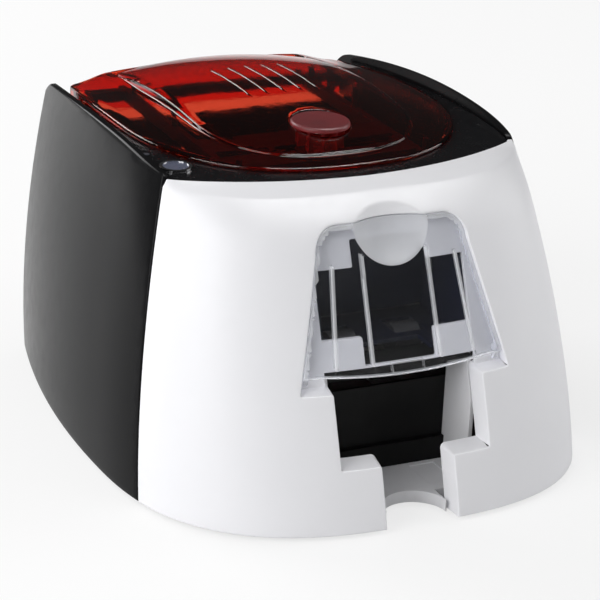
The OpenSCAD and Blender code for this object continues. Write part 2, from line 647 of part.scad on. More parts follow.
module roller_bushes() color("#d8c9a0") both_sides() for (at = shafts_at) difference() {
    union() {
        rod(plate_x - 1, plate_x + plate_wall, at, bush_r);
        rod(plate_x - 2, plate_x, at, bush_r + 1.2);
    }
    rod(plate_x - 4, plate_x + 5, at, shaft_r + 0.05);
}
catch_at = [-25, 142];
module engine_studs() color("#b9bcc1") {
    for (at = [rear_idler_at, front_idler_at]) rod(-plate_x - 12.5, -plate_x, at, 2);
    both_sides() rod(plate_x - 6, plate_x, catch_at, 1.6);
}
module card_guides() color("#35383d") for (span = [[-28, 7], [30, 86]]) {
    mid = (span[0] + span[1]) / 2;
    block([-46, span[0], path_z - 3], [46, span[1], path_z - 1.2]);
    block([-plate_x, mid - 5, path_z - 3], [plate_x, mid + 5, path_z - 1.2]);
    both_sides() block([45.2, span[0], path_z - 3], [47, span[1], path_z + 2.5]);
}
module feed_motor() color("#70747a") {
    rod(-plate_x, -plate_x + 26, motor_at, 17);
    rod(-plate_x + 26, -plate_x + 28, motor_at, 5);
}
module motor_pinion() color("#e6e2d4") {
    gear_at(gear_x, motor_at, pinion_teeth, motor_phase, 1.5);
    rod(-plate_x - 11.5, -plate_x - 2.2, motor_at, 1.5);
}
module front_idler_gear() color("#e6e2d4")
    gear_at(gear_x, front_idler_at, front_idler_teeth, front_idler_phase, 2.05);
module rear_idler_gear() color("#e6e2d4")
    gear_at(gear_x, rear_idler_at, rear_idler_teeth, rear_idler_phase, 2.05);
module roller_shaft(at) color("#b9bcc1") rod(gear_x - 1, plate_x + 4, at, shaft_r);
module platen_shaft() roller_shaft(platen_at);
module feed_shaft() roller_shaft(feed_at);
module pick_shaft() roller_shaft(pick_at);
module eject_shaft() roller_shaft(eject_at);
module platen_roller() color("#2f3032") tube(-44.5, 44.5, platen_at, platen_r, shaft_r);
module feed_roller() color("#3a3b3e") tube(-44, 44, feed_at, feed_r, shaft_r);
module pick_rollers() color("#54575c") both_sides() tube(12, 28, pick_at, pick_r, shaft_r);
module eject_rollers() color("#54575c") both_sides() tube(14, 32, eject_at, eject_r, shaft_r);
module platen_gear() color("#e6e2d4") gear_at(gear_x, platen_at, platen_teeth, 0);
module feed_gear() color("#e6e2d4") gear_at(gear_x, feed_at, platen_teeth, feed_phase);
module pick_gear() color("#e6e2d4") gear_at(gear_x, pick_at, platen_teeth, pick_phase);
module eject_gear() color("#e6e2d4") gear_at(gear_x, eject_at, eject_teeth, eject_phase);
module pinch_roller() color("#b9bcc1") {
    rod(-plate_x - 3, plate_x + 3, pinch_at, pinch_shaft_r);
    tube(-40, -10, pinch_at, pinch_r, pinch_shaft_r);
    tube(10, 40, pinch_at, pinch_r, pinch_shaft_r);
}

// ---- ribbon ----
cheek_x = 50;
cheek_r = 20;
cheek_low_z = path_z + 6;
flange_r = 15.5;
guide_rods = [[36, path_z + 8], [-9, path_z + 8]];
module ribbon_cassette() color("#2c3f66") {
    both_sides() difference() {
        union() {
            rod(cheek_x, cheek_x + 2.5, supply_at, cheek_r);
            rod(cheek_x, cheek_x + 2.5, takeup_at, cheek_r - 2);
            block([cheek_x, takeup_at[0], cheek_low_z], [cheek_x + 2.5, supply_at[0], cheek_low_z + 14]);
        }
        for (at = [supply_at, takeup_at]) rod(cheek_x - 2, cheek_x + 5, at, shaft_r + 0.05);
    }
    for (at = guide_rods) rod(-cheek_x - 1, cheek_x + 1, at, 2);
    rod(-cheek_x - 1, cheek_x + 1, [supply_at[0] + flange_r + 2.3, supply_at[1] - 3], 1.6);
    both_sides() for (y = [-16, 38])
        block([cheek_x + 2, y - 4, cheek_low_z + 3], [plate_x, y + 4, cheek_low_z + 11]);
}
module spool(at, wound) {
    rod(-plate_x + 3, plate_x - 3, at, shaft_r);
    rod(-43, 43, at, wound);
    both_sides() rod(44.5, 46.5, at, flange_r);
    rod(-45, 45, at, 6);
}
module supply_spool() color("#3b2b2e") spool(supply_at, 14.5);
module takeup_spool() color("#33282c") {
    spool(takeup_at, 10);
    rod(plate_x - 4, plate_x + 12, takeup_at, shaft_r);
}
module takeup_gear() color("#e6e2d4")
    gear_at(plate_x + 5, takeup_at, spool_teeth, 0);
film_t = 0.3;
// Path of the film in [y, z] from the supply roll, under the guide rods and the head, to the take-up roll
film_line = [
    supply_at + [-14.7, 2.6], guide_rods[0] + [2.6, -1], guide_rods[0] + [0.4, -2.6],
    [platen_at[0] + 8, head_low_z - 0.4], [platen_at[0] - 8, head_low_z - 0.4],
    guide_rods[1] + [-0.4, -2.6], guide_rods[1] + [-2.6, -1], takeup_at + [9.8, 3.8]
];
function film_back(i) =
    let (
        a = film_line[max(i - 1, 0)],
        b = film_line[min(i + 1, len(film_line) - 1)],
        way = (b - a) / norm(b - a)
    )
    film_line[i] + film_t * [-way[1], way[0]];
module ribbon_film() color("#4a2330")
    plate_yz(-42, 42, concat(film_line, [for (i = [len(film_line) - 1 : -1 : 0]) film_back(i)]));
module ribbon_motor() color("#70747a") {
    y = ribbon_motor_at[0];
    z = ribbon_motor_at[1];
    rod(plate_x + 13, plate_x + 32, ribbon_motor_at, 11);
    difference() {
        block([plate_x + plate_wall, y - 12, z - 12], [plate_x + 14.5, y - 7, z + 12]);
        block([plate_x + plate_wall + 2, y - 10, z - 14], [plate_x + 12.5, y, z + 14]);
    }
}
module ribbon_pinion() color("#e6e2d4") {
    gear_at(plate_x + 5, ribbon_motor_at, pinion_teeth, ribbon_phase, 1.5);
    rod(plate_x + 4.5, plate_x + 12.8, ribbon_motor_at, 1.5);
}

// ---- electronics and buttons ----
board_z = 12;
board_posts = [[52, 96], [104, 96], [52, 134], [96, 134]];
module circuit_board() color("#1f5a3c") difference() {
    union() {
        block([48, 92, board_z], [108, 140, board_z + 1.6]);
        block([56, 100, board_z + 1.6], [70, 114, board_z + 4]);
        block([78, 98, board_z + 1.6], [88, 108, board_z + 5]);
        for (i = [0 : 2]) translate([96, 102 + 10 * i, board_z + 1.6]) cylinder(h = 9, r = 3.5);
    }
    for (p = board_posts) translate([p[0], p[1], board_z - 1]) cylinder(h = 4, r = 1.6);
}
module usb_socket() color("#b9bcc1") difference() {
    block([usb_at[0] - 6, 131, board_z + 1.6], [usb_at[0] + 6, rear_panel_y + 1.5, usb_at[1] + 5.4]);
    block([usb_at[0] - 4.4, 136, board_z + 3], [usb_at[0] + 4.4, 155, usb_at[1] + 4]);
}
module power_socket() color("#1a1a1c") {
    difference() {
        union() {
            block([power_at[0] - 6, 128, board_z + 1.6], [power_at[0] + 6, 143, power_at[1] + 5]);
            translate([power_at[0], rear_panel_y + 1.6, power_at[1]]) rotate([90, 0, 0])
                cylinder(h = 6, r = 4.8);
        }
        translate([power_at[0], 160, power_at[1]]) rotate([90, 0, 0]) cylinder(h = 28, r = 3);
    }
    translate([power_at[0], 145, power_at[1]]) rotate([90, 0, 0]) cylinder(h = 15, r = 1);
}
button_travel = 1;
module button_bezel() color("silver") translate([button_at[0], button_at[1], 0]) difference() {
    translate([0, 0, deck_z - 4]) cylinder(h = 4.6, r = button_r + 1.8);
    translate([0, 0, deck_z - 5]) cylinder(h = 8, r = button_r + 0.05);
}
module control_button() color("#8fa5c9") translate([button_at[0], button_at[1], 0]) {
    translate([0, 0, deck_z - 5.5]) cylinder(h = 5.6, r = button_r);
    translate([0, 0, deck_z - 9.5]) cylinder(h = 5, r = 2.5);
}
module button_switch() color("#15161a") translate([button_at[0], button_at[1], 0]) {
    translate([0, 0, deck_z - 14.5]) cylinder(h = 3.6, r = 2.4);
    translate([-9, -9, deck_z - 17]) cube([18, 18, 2.6]);
}
module status_lenses() color("#c8d4e4") for (p = lens_at)
    translate([p[0], p[1], deck_top_z(p[1]) - 3]) cylinder(h = 3.1, r = lens_r);

// ---- lid ----
function along(grid_a, grid_b, v) = [for (i = [0 : len(grid_a) - 1]) mix(grid_a[i], grid_b[i], v)];
function on_window(points, drop) = [for (p = points) [p[0], p[1], window_z(p[0], p[1]) - drop]];
function on_shelf(points, drop) = [for (p = points) [p[0], p[1], shelf_z(p[0], p[1]) - drop]];
function at_rim(points) = [for (p = points) [p[0], p[1], rim_z(p[1])]];
lid_mid = [0, 55];
function spread(v, grow) = [for (p = window_outline(grow)) mix(lid_mid, p, v)];
module lid_skin() {
    edge = window_outline(0);
    foot = window_outline(1.2);
    outer = lid_outline(0);
    inner = lid_outline(-lid_wall);
    ring_solid([0, lid_mid[1], window_z(0, lid_mid[1])],
        concat(
            [for (v = [0.25, 0.5, 0.75, 0.94]) on_window(spread(v, 0), 0)],
            [on_window(spread(0.985, 0), 0.25), on_window(edge, 1.1), on_shelf(foot, 0)],
            [for (v = [0.3, 0.6, 0.9]) on_shelf(along(foot, outer, v), 0)],
            [on_shelf(along(foot, outer, 0.975), 0.3), on_shelf(outer, 1.2)],
            [at_rim(outer), at_rim(inner)],
            [[for (p = inner) [p[0], p[1], max(shelf_z(p[0], p[1]) - lid_wall - 0.4, rim_z(p[1]) + 0.3)]]],
            [on_shelf(along(foot, inner, 0.5), lid_wall), on_shelf(window_outline(-0.6), lid_wall)],
            [on_window(window_outline(-1.8), lid_wall)],
            [for (v = [0.75, 0.5, 0.25]) on_window(spread(v, -1.8), lid_wall)]
        ),
        [0, lid_mid[1], window_z(0, lid_mid[1]) - lid_wall]);
}
ridge_mid_y = (ridge_front_y + ridge_rear_y) / 2;
module ridge(x) for (ends = [[ridge_front_y, ridge_mid_y], [ridge_mid_y, ridge_rear_y]]) hull()
    for (y = ends) translate([x, y, window_z(x, y) + (y == ridge_mid_y ? 0.5 : 0.1)])
        sphere(r = 0.7, $fn = 10);
module lid_shell() color("#a81414", 0.6) difference() {
    union() {
        lid_skin();
        for (i = [-2 : 2]) ridge(i * ridge_pitch);
    }
    translate([0, latch_y, 150]) cylinder(h = 60, r = latch_r + 0.4, $fn = 64);
    rod(-100, 100, [hinge_y, hinge_z], hinge_pin_r + 0.7);
}
beam_x = 57;
beam_low_z = 161;
beam_top_z = 168;
ear_in = 82;
ear_out = 85.4;
module lid_frame() color("#17181b") difference() {
    union() {
        both_sides() block([beam_x, -35, beam_low_z], [beam_x + 4, 140, beam_top_z]);
        for (y = [[-22, -1], [8, 32], [128, 135]])
            block([-beam_x, y[0], beam_low_z + 1], [beam_x, y[1], beam_top_z]);
        both_sides() block([beam_x, 128, beam_low_z + 1], [ear_out, 135, beam_top_z]);
        both_sides() {
            rod(ear_in, ear_out, [hinge_y, hinge_z], 5);
            plate_yz(ear_in, ear_out, [[128, beam_low_z + 1], [128, beam_top_z], [136, beam_top_z],
                [hinge_y + 4, hinge_z + 3], [hinge_y - 3, hinge_z - 3.9]]);
            rod(beam_x, beam_x + 4, [latch_axle_y, latch_axle_z], 5);
        }
        translate([0, latch_y, beam_low_z + 1]) cylinder(h = beam_top_z - beam_low_z + 1, r = 14);
        both_sides() for (y = [-30, 60, 120]) translate([beam_x + 2, y, beam_top_z])
            cylinder(h = shelf_z(beam_x + 4, y) - lid_wall - 0.4 - beam_top_z, r = 1.8);
    }
    translate([0, latch_y, 140]) cylinder(h = 50, r = stem_r + 0.05);
    both_sides() {
        rod(ear_in - 2, ear_out + 2, [hinge_y, hinge_z], hinge_pin_r + 0.05);
        rod(beam_x - 2, beam_x + 6, [latch_axle_y, latch_axle_z], shaft_r + 0.05);
    }
}
module lid_hinge_pins() color("silver") both_sides()
    rod(hinge_pin_in, hinge_post_in + 2.6, [hinge_y, hinge_z], hinge_pin_r);
module head_carrier() color("#202226") difference() {
    block([-head_half_w - 2, 6, carrier_low_z], [head_half_w + 2, 34, beam_low_z + 1]);
    block([-head_half_w, 8.5, carrier_low_z + 4], [head_half_w, 31.5, beam_low_z - 4]);
    for (x = [-1, 1]) translate([x * 26, platen_at[0], carrier_low_z - 1]) cylinder(h = 8, r = 2.55);
    for (x = [-27, 0, 27]) block([x - 11, 0, carrier_low_z + 12], [x + 11, 40, beam_low_z - 8]);
}
module print_head() color("#a9adb3") {
    block([-head_half_w, 9, head_low_z + 2], [head_half_w, 29, head_high_z]);
    block([-head_half_w, platen_at[0] - 4, head_low_z], [head_half_w, platen_at[0] + 4, head_low_z + 3]);
    for (x = [-1, 1]) translate([x * 26, platen_at[0], head_high_z - 1]) cylinder(h = 14, r = 2.5);
    for (x = [-5 : 5]) block([x * 4 - 0.8, 10, head_high_z - 1], [x * 4 + 0.8, 14, head_high_z + 2.5]);
}
module head_springs() color("#c8cacd") for (x = [-1, 1]) translate([x * 26, platen_at[0], 0])
    spring_rings(3.6, 0.6, head_high_z, carrier_low_z, 5);
leg_top_z = latch_top_z - 3;
module latch_button() color("#b03038", 0.75) translate([0, latch_y, 0]) {
    translate([0, 0, leg_top_z]) cylinder(h = 2.2, r = latch_r);
    translate([0, 0, leg_top_z + 2.2]) cylinder(h = 0.8, r1 = latch_r, r2 = latch_r - 1);
    translate([0, 0, 149.5]) cylinder(h = leg_top_z - 149.4, r = stem_r - 0.02);
    for (i = [0 : 9]) rotate(i * 36) translate([9, -0.7, 174]) cube([5, 1.4, leg_top_z - 173.9]);
}
module latch_spring() color("#c8cacd") translate([0, latch_y, 0])
    spring_rings(7.4, 0.7, beam_top_z + 2, leg_top_z, 6);
hook_in = 53;
hook_out = 55.4;
module latch_bar() color("#3b3f45") {
    rod(-beam_x - 4.5, beam_x + 4.5, [latch_axle_y, latch_axle_z], shaft_r);
    both_sides() {
        rod(hook_in, hook_out, [latch_axle_y, latch_axle_z], 5);
        plate_yz(hook_in, hook_out, [[-33, 158], [-26, 158], [-28, 147], [-28, 141], [-27.1, 139.8],
            [-28, 136.5], [-32, 136.5], [-33, 140]]);
    }
    rod(-10, 10, [latch_axle_y, latch_axle_z], 5);
    plate_yz(-6, 6, [[-30, 153.2], [-26, 153.2], [-22, 146], [-6, 146], [-6, 149.2], [-20, 148],
        [-24, 160], [-30, 160]]);
}

base_tray();
rubber_feet();
side_panel_left();
side_panel_right();
front_cover();
top_deck();
rear_panel();
case_screws();
feeder_hopper();
bay_side_walls();
feeder_hinge_pins();
feeder_cover();
output_tray();
output_bay();
engine_plate_left();
engine_plate_right();
engine_tie_rods();
roller_bushes();
card_guides();
engine_studs();
feed_motor();
motor_pinion();
front_idler_gear();
rear_idler_gear();
platen_shaft();
platen_roller();
platen_gear();
feed_shaft();
feed_roller();
feed_gear();
pick_shaft();
pick_rollers();
pick_gear();
eject_shaft();
eject_rollers();
eject_gear();
pinch_roller();
ribbon_cassette();
supply_spool();
takeup_spool();
takeup_gear();
ribbon_film();
ribbon_motor();
ribbon_pinion();
circuit_board();
usb_socket();
power_socket();
button_bezel();
control_button();
button_switch();
status_lenses();
lid_shell();
lid_frame();
lid_hinge_pins();
head_carrier();
print_head();
head_springs();
latch_button();
latch_spring();
latch_bar();
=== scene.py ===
"""Looks of a desktop card printer: smooth casing shells, a see-through lid and clear feeder cover,
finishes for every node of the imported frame, and a plain studio around it.

Shapes are worked out in millimetres and handed to Blender in metres."""

import json
import logging
import math
from collections.abc import Callable, Iterable
from dataclasses import dataclass, field
from enum import Enum

import bmesh
import bpy
import numpy as np
from mathutils import Matrix, Vector
from mathutils.geometry import delaunay_2d_cdt


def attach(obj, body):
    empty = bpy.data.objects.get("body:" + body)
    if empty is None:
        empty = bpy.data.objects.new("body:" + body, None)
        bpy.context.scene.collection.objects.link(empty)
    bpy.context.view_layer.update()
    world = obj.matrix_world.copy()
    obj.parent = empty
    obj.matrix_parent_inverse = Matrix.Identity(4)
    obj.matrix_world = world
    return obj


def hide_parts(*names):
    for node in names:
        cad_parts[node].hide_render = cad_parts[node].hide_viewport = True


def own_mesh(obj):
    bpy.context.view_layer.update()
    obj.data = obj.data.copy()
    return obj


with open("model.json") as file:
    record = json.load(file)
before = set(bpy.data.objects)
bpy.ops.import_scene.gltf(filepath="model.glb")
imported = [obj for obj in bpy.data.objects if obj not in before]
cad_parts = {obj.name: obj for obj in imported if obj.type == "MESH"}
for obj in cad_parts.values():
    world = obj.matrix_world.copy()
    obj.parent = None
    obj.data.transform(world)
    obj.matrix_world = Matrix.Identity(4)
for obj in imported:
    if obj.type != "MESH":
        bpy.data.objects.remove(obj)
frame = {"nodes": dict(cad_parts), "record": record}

LOG = logging.getLogger("card_printer")
MM = 0.001
QUARTER = math.pi / 2
SHARP_ANGLE = math.radians(38)
WELD = 0.004 * MM
Node = bpy.types.Node
Socket = bpy.types.NodeSocket
Array = np.ndarray
Values = Array | float
Pair = tuple[float, float]
Triple = tuple[float, float, float]
Place = Callable[[Array, Array], Array]


class Body(Enum):
    """The bodies of the frame that new pieces ride on."""

    CASING = "casing"
    LID = "lid"
    FEEDER = "feeder_door"
    LATCH = "latch_press"


# ---- finishes ----


def rgba(colour: Triple, share: float = 0.0) -> tuple[float, ...]:
    """A colour made lighter by a share of itself, with its alpha."""
    return (*(min(1.0, c * (1 + share)) for c in colour), 1.0)


class NodeTree:
    """A small helper that adds and joins shader nodes in one material or world."""

    def __init__(self, owner: bpy.types.Material | bpy.types.World) -> None:
        """Start an empty node tree in a material or world.

        Args:
            owner: the material or world.
        """
        owner.use_nodes = True
        self.tree = owner.node_tree
        self.tree.nodes.clear()

    def add(self, kind: str, **values: object) -> Node:
        """Add a node.

        Args:
            kind: the node's type name in Blender, without its ShaderNode prefix.
            values: what each socket holds or is joined to, by its name with spaces as underscores or by its
                number after an underscore; any other name is a property of the node.

        Returns:
            The new node.
        """
        node = self.tree.nodes.new("ShaderNode" + kind)
        for key, value in values.items():
            numbered = key.startswith("_")
            socket = node.inputs[int(key[1:])] if numbered else node.inputs.get(key.replace("_", " "))
            if socket is None:
                setattr(node, key, value)
            elif isinstance(value, Socket):
                self.tree.links.new(value, socket)
            else:
                socket.default_value = value
        return node

    def noise(self, size: float, **values: object) -> Socket:
        """Noise with spots of a size."""
        return self.add("TexNoise", Scale=1 / size, **values).outputs["Fac"]

    def spread(self, noise: Socket, low: float, high: float) -> Socket:
        """Let a noise swing a value from low to high."""
        span = self.add("MapRange", From_Min=0.3, From_Max=0.7, To_Min=low, To_Max=high, Value=noise)
        return span.outputs["Result"]

    def tones(self, noise: Socket, colour: Triple, low: float, high: float) -> Socket:
        """Let a noise swing a colour between two shares of change."""
        mix = self.add("Mix", data_type="RGBA", _0=noise, _6=rgba(colour, low), _7=rgba(colour, high))
        return mix.outputs[2]

    def relief(self, noise: Socket, height: float, **values: object) -> Socket:
        """Raise a noise to a height."""
        return self.add("Bump", Strength=1.0, Distance=height, Height=noise, **values).outputs["Normal"]

    def math(self, operation: str, a: object, b: object, **values: object) -> Socket:
        """Reckon with two values."""
        return self.add("Math", operation=operation, _0=a, _1=b, **values).outputs[0]

    def mix(self, share: object, first: Node, second: Node) -> Node:
        """Mix the only outputs of two shaders."""
        return self.add("MixShader", Fac=share, _1=first.outputs[0], _2=second.outputs[0])


@dataclass(frozen=True)
class BaseFinish:
    """What all finishes share."""

    name: str

    def shader(self, nodes: NodeTree) -> Node:
        """Build the finish's own nodes."""
        raise NotImplementedError

    def build(self) -> bpy.types.Material:
        """Make the material, or find it if it was made before.

        Returns:
            The material.
        """
        label = "finish_" + self.name
        material = bpy.data.materials.get(label)
        if material is None:
            material = bpy.data.materials.new(label)
            nodes = NodeTree(material)
            nodes.add("OutputMaterial", Surface=self.shader(nodes).outputs[0])
        return material


@dataclass(frozen=True)
class Finish(BaseFinish):
    """A moulded, cast or drawn surface with grain, uneven gloss and rounded edges."""

    colour: Triple
    roughness: float
    metallic: float = 0.0
    grain: float = 0.4 * MM
    grain_height: float = 0.01 * MM
    cloud: float = 25 * MM
    cloud_share: float = 0.04
    gloss_spread: float = 0.06
    stretch: Triple = (1.0, 1.0, 1.0)
    specular: float = 0.5
    coat: float = 0.0
    edge_radius: float = 0.0

    def shader(self, nodes: NodeTree) -> Node:
        """Join soft clouds of colour, drifting gloss and a fine grain in one shader.

        Args:
            nodes: the tree to build in.

        Returns:
            The shader's node.
        """
        place = nodes.add("TexCoord").outputs["Object"]
        spot = nodes.add("Mapping", Scale=self.stretch, Vector=place).outputs["Vector"]
        clouds = nodes.noise(self.cloud, Detail=3.0, Roughness=0.55, Vector=spot)
        drift = nodes.noise(self.cloud / 3.3, Detail=4.0, Vector=spot)
        grain = nodes.noise(self.grain, Detail=2.0, Roughness=0.6, Vector=spot)
        rounded = {}
        if self.edge_radius > 0:
            rounded["Normal"] = nodes.add("Bevel", samples=4, Radius=self.edge_radius).outputs["Normal"]
        return nodes.add(
            "BsdfPrincipled",
            Metallic=self.metallic,
            Specular_IOR_Level=self.specular,
            Coat_Weight=self.coat,
            Coat_Roughness=0.15,
            Base_Color=nodes.tones(clouds, self.colour, -self.cloud_share, self.cloud_share),
            Roughness=nodes.spread(drift, max(0.0, self.roughness - self.gloss_spread),
                                   min(1.0, self.roughness + self.gloss_spread)),
            Normal=nodes.relief(grain, self.grain_height, **rounded),
        )


@dataclass(frozen=True)
class ClearFinish(BaseFinish):
    """A see-through moulding that lets lamps reach what is behind it."""

    tint: Triple
    lamp_tint: Triple
    roughness: float = 0.03
    index: float = 1.49
    grain: float = 8 * MM
    grain_height: float = 0.02 * MM
    frost: float = 0.0
    specular: float = 0.5

    def shader(self, nodes: NodeTree) -> Node:
        """Join a refracting body with a plain tint for the rays that look for lamps.

        Args:
            nodes: the tree to build in.

        Returns:
            The mixed shader's node.
        """
        flow = nodes.noise(self.grain, Detail=2.0, Vector=nodes.add("TexCoord").outputs["Object"])
        body = nodes.add(
            "BsdfPrincipled",
            IOR=self.index,
            Transmission_Weight=1.0 - self.frost,
            Specular_IOR_Level=self.specular,
            Base_Color=nodes.tones(flow, self.tint, 0.0, -0.06),
            Roughness=nodes.spread(flow, self.roughness, self.roughness + 0.03),
            Normal=nodes.relief(flow, self.grain_height),
        )
        lamps = nodes.add("BsdfTransparent", Color=rgba(self.lamp_tint))
        return nodes.mix(nodes.add("LightPath").outputs["Is Shadow Ray"], body, lamps)


HOPPER_NAVY = Finish("hopper_navy", (0.006, 0.008, 0.022), 0.34, edge_radius=0.5 * MM, gloss_spread=0.04,
                     specular=0.3)
COVER_FROST = ClearFinish("cover_frost", (0.70, 0.71, 0.74), (0.9, 0.9, 0.92), 0.4, index=1.3, frost=0.6)
# A whiter frost for the feeder cover's rim band, ribs and pull-tab edge: a painted highlight that stands for
# the bright lines along them.
COVER_EDGE_PAINTED_HIGHLIGHT = ClearFinish("cover_edge_painted_highlight", (0.90, 0.91, 0.94), (0.9, 0.9, 0.92), 0.2, index=1.3, frost=0.4)

# The finish of each material slot in the record
SLOT_FINISHES: dict[str, BaseFinish] = {
    "white_plastic": Finish("white_shell", (0.80, 0.80, 0.825), 0.42, grain=0.25 * MM,
                            grain_height=0.004 * MM, cloud_share=0.012),
    "black_texture": Finish("black_texture", (0.007, 0.007, 0.0075), 0.20, grain=0.42 * MM,
                            grain_height=0.012 * MM, cloud_share=0.1, gloss_spread=0.03, specular=0.1),
    "deck_black": Finish("deck_black", (0.006, 0.006, 0.007), 0.24, grain=0.3 * MM, grain_height=0.004 * MM,
                         cloud_share=0.1, specular=0.25),
    "red_clear": ClearFinish("lid_red", (0.88, 0.075, 0.03), (0.6, 0.035, 0.014), 0.02, specular=0.9),
    "red_frost": ClearFinish("latch_red", (0.27, 0.045, 0.052), (0.4, 0.05, 0.04), roughness=0.35, frost=0.45,
                             grain=0.7 * MM, grain_height=0.12 * MM),
    "clear_plastic": ClearFinish("cover_clear", (0.92, 0.93, 0.95), (0.96, 0.96, 0.98), roughness=0.1,
                                 index=1.3, frost=0.008),
    "inner_black": Finish("inner_black", (0.003, 0.003, 0.003), 0.5, edge_radius=0.5 * MM, specular=0.2),
    "tray_grey": Finish("tray_grey", (0.72, 0.72, 0.74), 0.5, grain_height=0.02 * MM, edge_radius=0.5 * MM),
    "bay_white": Finish("bay_white", (0.74, 0.74, 0.755), 0.45, edge_radius=0.5 * MM),
    "rubber": Finish("rubber", (0.02, 0.02, 0.02), 0.8, grain=0.6 * MM, grain_height=0.03 * MM, specular=0.3),
    "roller_rubber": Finish("roller_rubber", (0.05, 0.05, 0.053), 0.7, grain=0.3 * MM, grain_height=0.02 * MM,
                            specular=0.3),
    "sheet_steel": Finish("sheet_steel", (0.56, 0.57, 0.59), 0.36, metallic=1.0, cloud=9 * MM,
                          cloud_share=0.12, stretch=(1, 0.15, 1), edge_radius=0.3 * MM),
    "bright_steel": Finish("bright_steel", (0.66, 0.66, 0.68), 0.22, metallic=1.0, stretch=(0.2, 1, 1)),
    "spring_steel": Finish("spring_steel", (0.58, 0.58, 0.6), 0.28, metallic=1.0),
    "head_metal": Finish("head_metal", (0.62, 0.63, 0.65), 0.4, metallic=1.0, stretch=(0.1, 1, 1)),
    "motor_can": Finish("motor_can", (0.40, 0.41, 0.43), 0.33, metallic=1.0, cloud=12 * MM, cloud_share=0.15),
    "chrome": Finish("chrome", (0.78, 0.78, 0.80), 0.12, metallic=1.0, gloss_spread=0.03),
    "gear_plastic": Finish("gear_plastic", (0.78, 0.75, 0.66), 0.42, edge_radius=0.2 * MM),
    "bush_plastic": Finish("bush_plastic", (0.70, 0.62, 0.45), 0.45, edge_radius=0.2 * MM),
    "cassette_blue": Finish("cassette_blue", (0.10, 0.13, 0.24), 0.42, edge_radius=0.4 * MM),
    "film_roll": Finish("film_roll", (0.05, 0.02, 0.03), 0.3, stretch=(1, 6, 6), cloud=4 * MM,
                        cloud_share=0.3),
    "film": Finish("film", (0.10, 0.02, 0.035), 0.22),
    "board_green": Finish("board_green", (0.03, 0.16, 0.08), 0.4, cloud=6 * MM, cloud_share=0.2,
                          edge_radius=0.3 * MM),
    "button_lens": Finish("button_lens", (0.10, 0.11, 0.16), 0.3, coat=0.4),
    "status_clear": Finish("status_clear", (0.06, 0.065, 0.08), 0.35),
}


# ---- outlines in a plane, as arrays with one point per row ----


def rows(*columns: Values) -> Array:
    """Put columns side by side, with one point per row; a lone number fills its column."""
    return np.stack(np.broadcast_arrays(*columns), axis=-1)


def curve(start: Array, pull: Array, end: Array, v: Values) -> Array:
    """Run from start to end by way of a point that pulls the curve."""
    return (1 - v) ** 2 * start + 2 * v * (1 - v) * pull + v * v * end


def rounding(steps: int) -> list[Pair]:
    """Shares of a radius still to go outwards, and already gone down, over a rounded edge."""
    return [(1 - math.sin(turn), 1 - math.cos(turn)) for turn in np.linspace(0, QUARTER, steps)]


def smooth_step(low: float, high: float, value: Array) -> Array:
    """Ease from 0 at low to 1 at high."""
    v = np.clip((value - low) / (high - low), 0.0, 1.0)
    return v * v * (3 - 2 * v)


def smooth_max(a: Array, b: Array, width: float) -> Array:
    """The larger of two values, with a soft change over the given width."""
    h = np.clip(0.5 + 0.5 * (a - b) / width, 0.0, 1.0)
    return b + (a - b) * h + width * h * (1 - h)


def circle(x: float, y: float, radius: float, count: int = 72) -> Array:
    """Points of a circle."""
    turn = np.linspace(0, 2 * math.pi, count, endpoint=False)
    return rows(x + radius * np.cos(turn), y + radius * np.sin(turn))


def spaced(path: Array, pitch: float) -> Array:
    """Add points to a path so that no step is longer than the pitch.

    Args:
        path: the points of an open path.
        pitch: the longest step allowed.

    Returns:
        The path with the points added.
    """
    pieces = []
    for a, b in zip(path[:-1], path[1:]):
        count = max(1, math.ceil(float(np.linalg.norm(b - a)) / pitch))
        pieces.append(a + (b - a) * (np.arange(count) / count)[:, None])
    pieces.append(path[-1:])
    return np.concatenate(pieces)


def filleted(path: Iterable[Pair], radius: float) -> Array:
    """Round the inner corners of an open path.

    Args:
        path: the corners, with the two ends.
        radius: how far from each corner the rounding starts.

    Returns:
        The path with short arcs in place of its corners.
    """
    path = np.array(path, float)
    spots = [path[0]]
    for before, here, after in zip(path[:-2], path[1:-1], path[2:]):
        ends = []
        for other in (before, after):
            length = np.linalg.norm(other - here)
            ends.append(here + (other - here) / length * min(radius, float(length) * 0.45))
        spots += [curve(ends[0], here, ends[1], v) for v in (0.0, 0.25, 0.5, 0.75, 1.0)]
    spots.append(path[-1])
    return np.array(spots)


def turned(loop: Array, left: bool) -> Array:
    """Order a loop so that it runs to the left around its inside, or to the right.

    Args:
        loop: a closed loop.
        left: whether its inside is to lie on its left.

    Returns:
        The loop itself, or a copy that runs the other way.
    """
    x, y = loop.T
    area = float(np.sum(x * np.roll(y, -1) - np.roll(x, -1) * y))
    return loop if (area > 0) == left else loop[::-1].copy()


def spaced_loop(loop: Array, pitch: float, left: bool) -> Array:
    """Add points to a closed loop and turn it to the left or the right."""
    return turned(spaced(np.concatenate([loop, loop[:1]]), pitch)[:-1], left)


def unit(ways: Array, least: float = 1e-9) -> Array:
    """Bring each row to length 1, unless it is shorter than the least length."""
    return ways / np.maximum(np.linalg.norm(ways, axis=1, keepdims=True), least)


def inset(loop: Array, distance: Values) -> Array:
    """Move a closed loop to its left by a distance, or by one distance per point.

    Args:
        loop: a closed loop.
        distance: how far all points move, or how far each one does.

    Returns:
        The moved loop.
    """
    way_in = unit(loop - np.roll(loop, 1, axis=0))
    way_out = unit(np.roll(loop, -1, axis=0) - loop)
    left_in, left_out = rows(-way_in[:, 1], way_in[:, 0]), rows(-way_out[:, 1], way_out[:, 0])
    middle = left_in + left_out
    middle /= np.maximum((middle * left_in).sum(axis=1, keepdims=True), 0.9)
    return loop + middle * np.broadcast_to(np.asarray(distance, float), (len(loop),))[:, None]


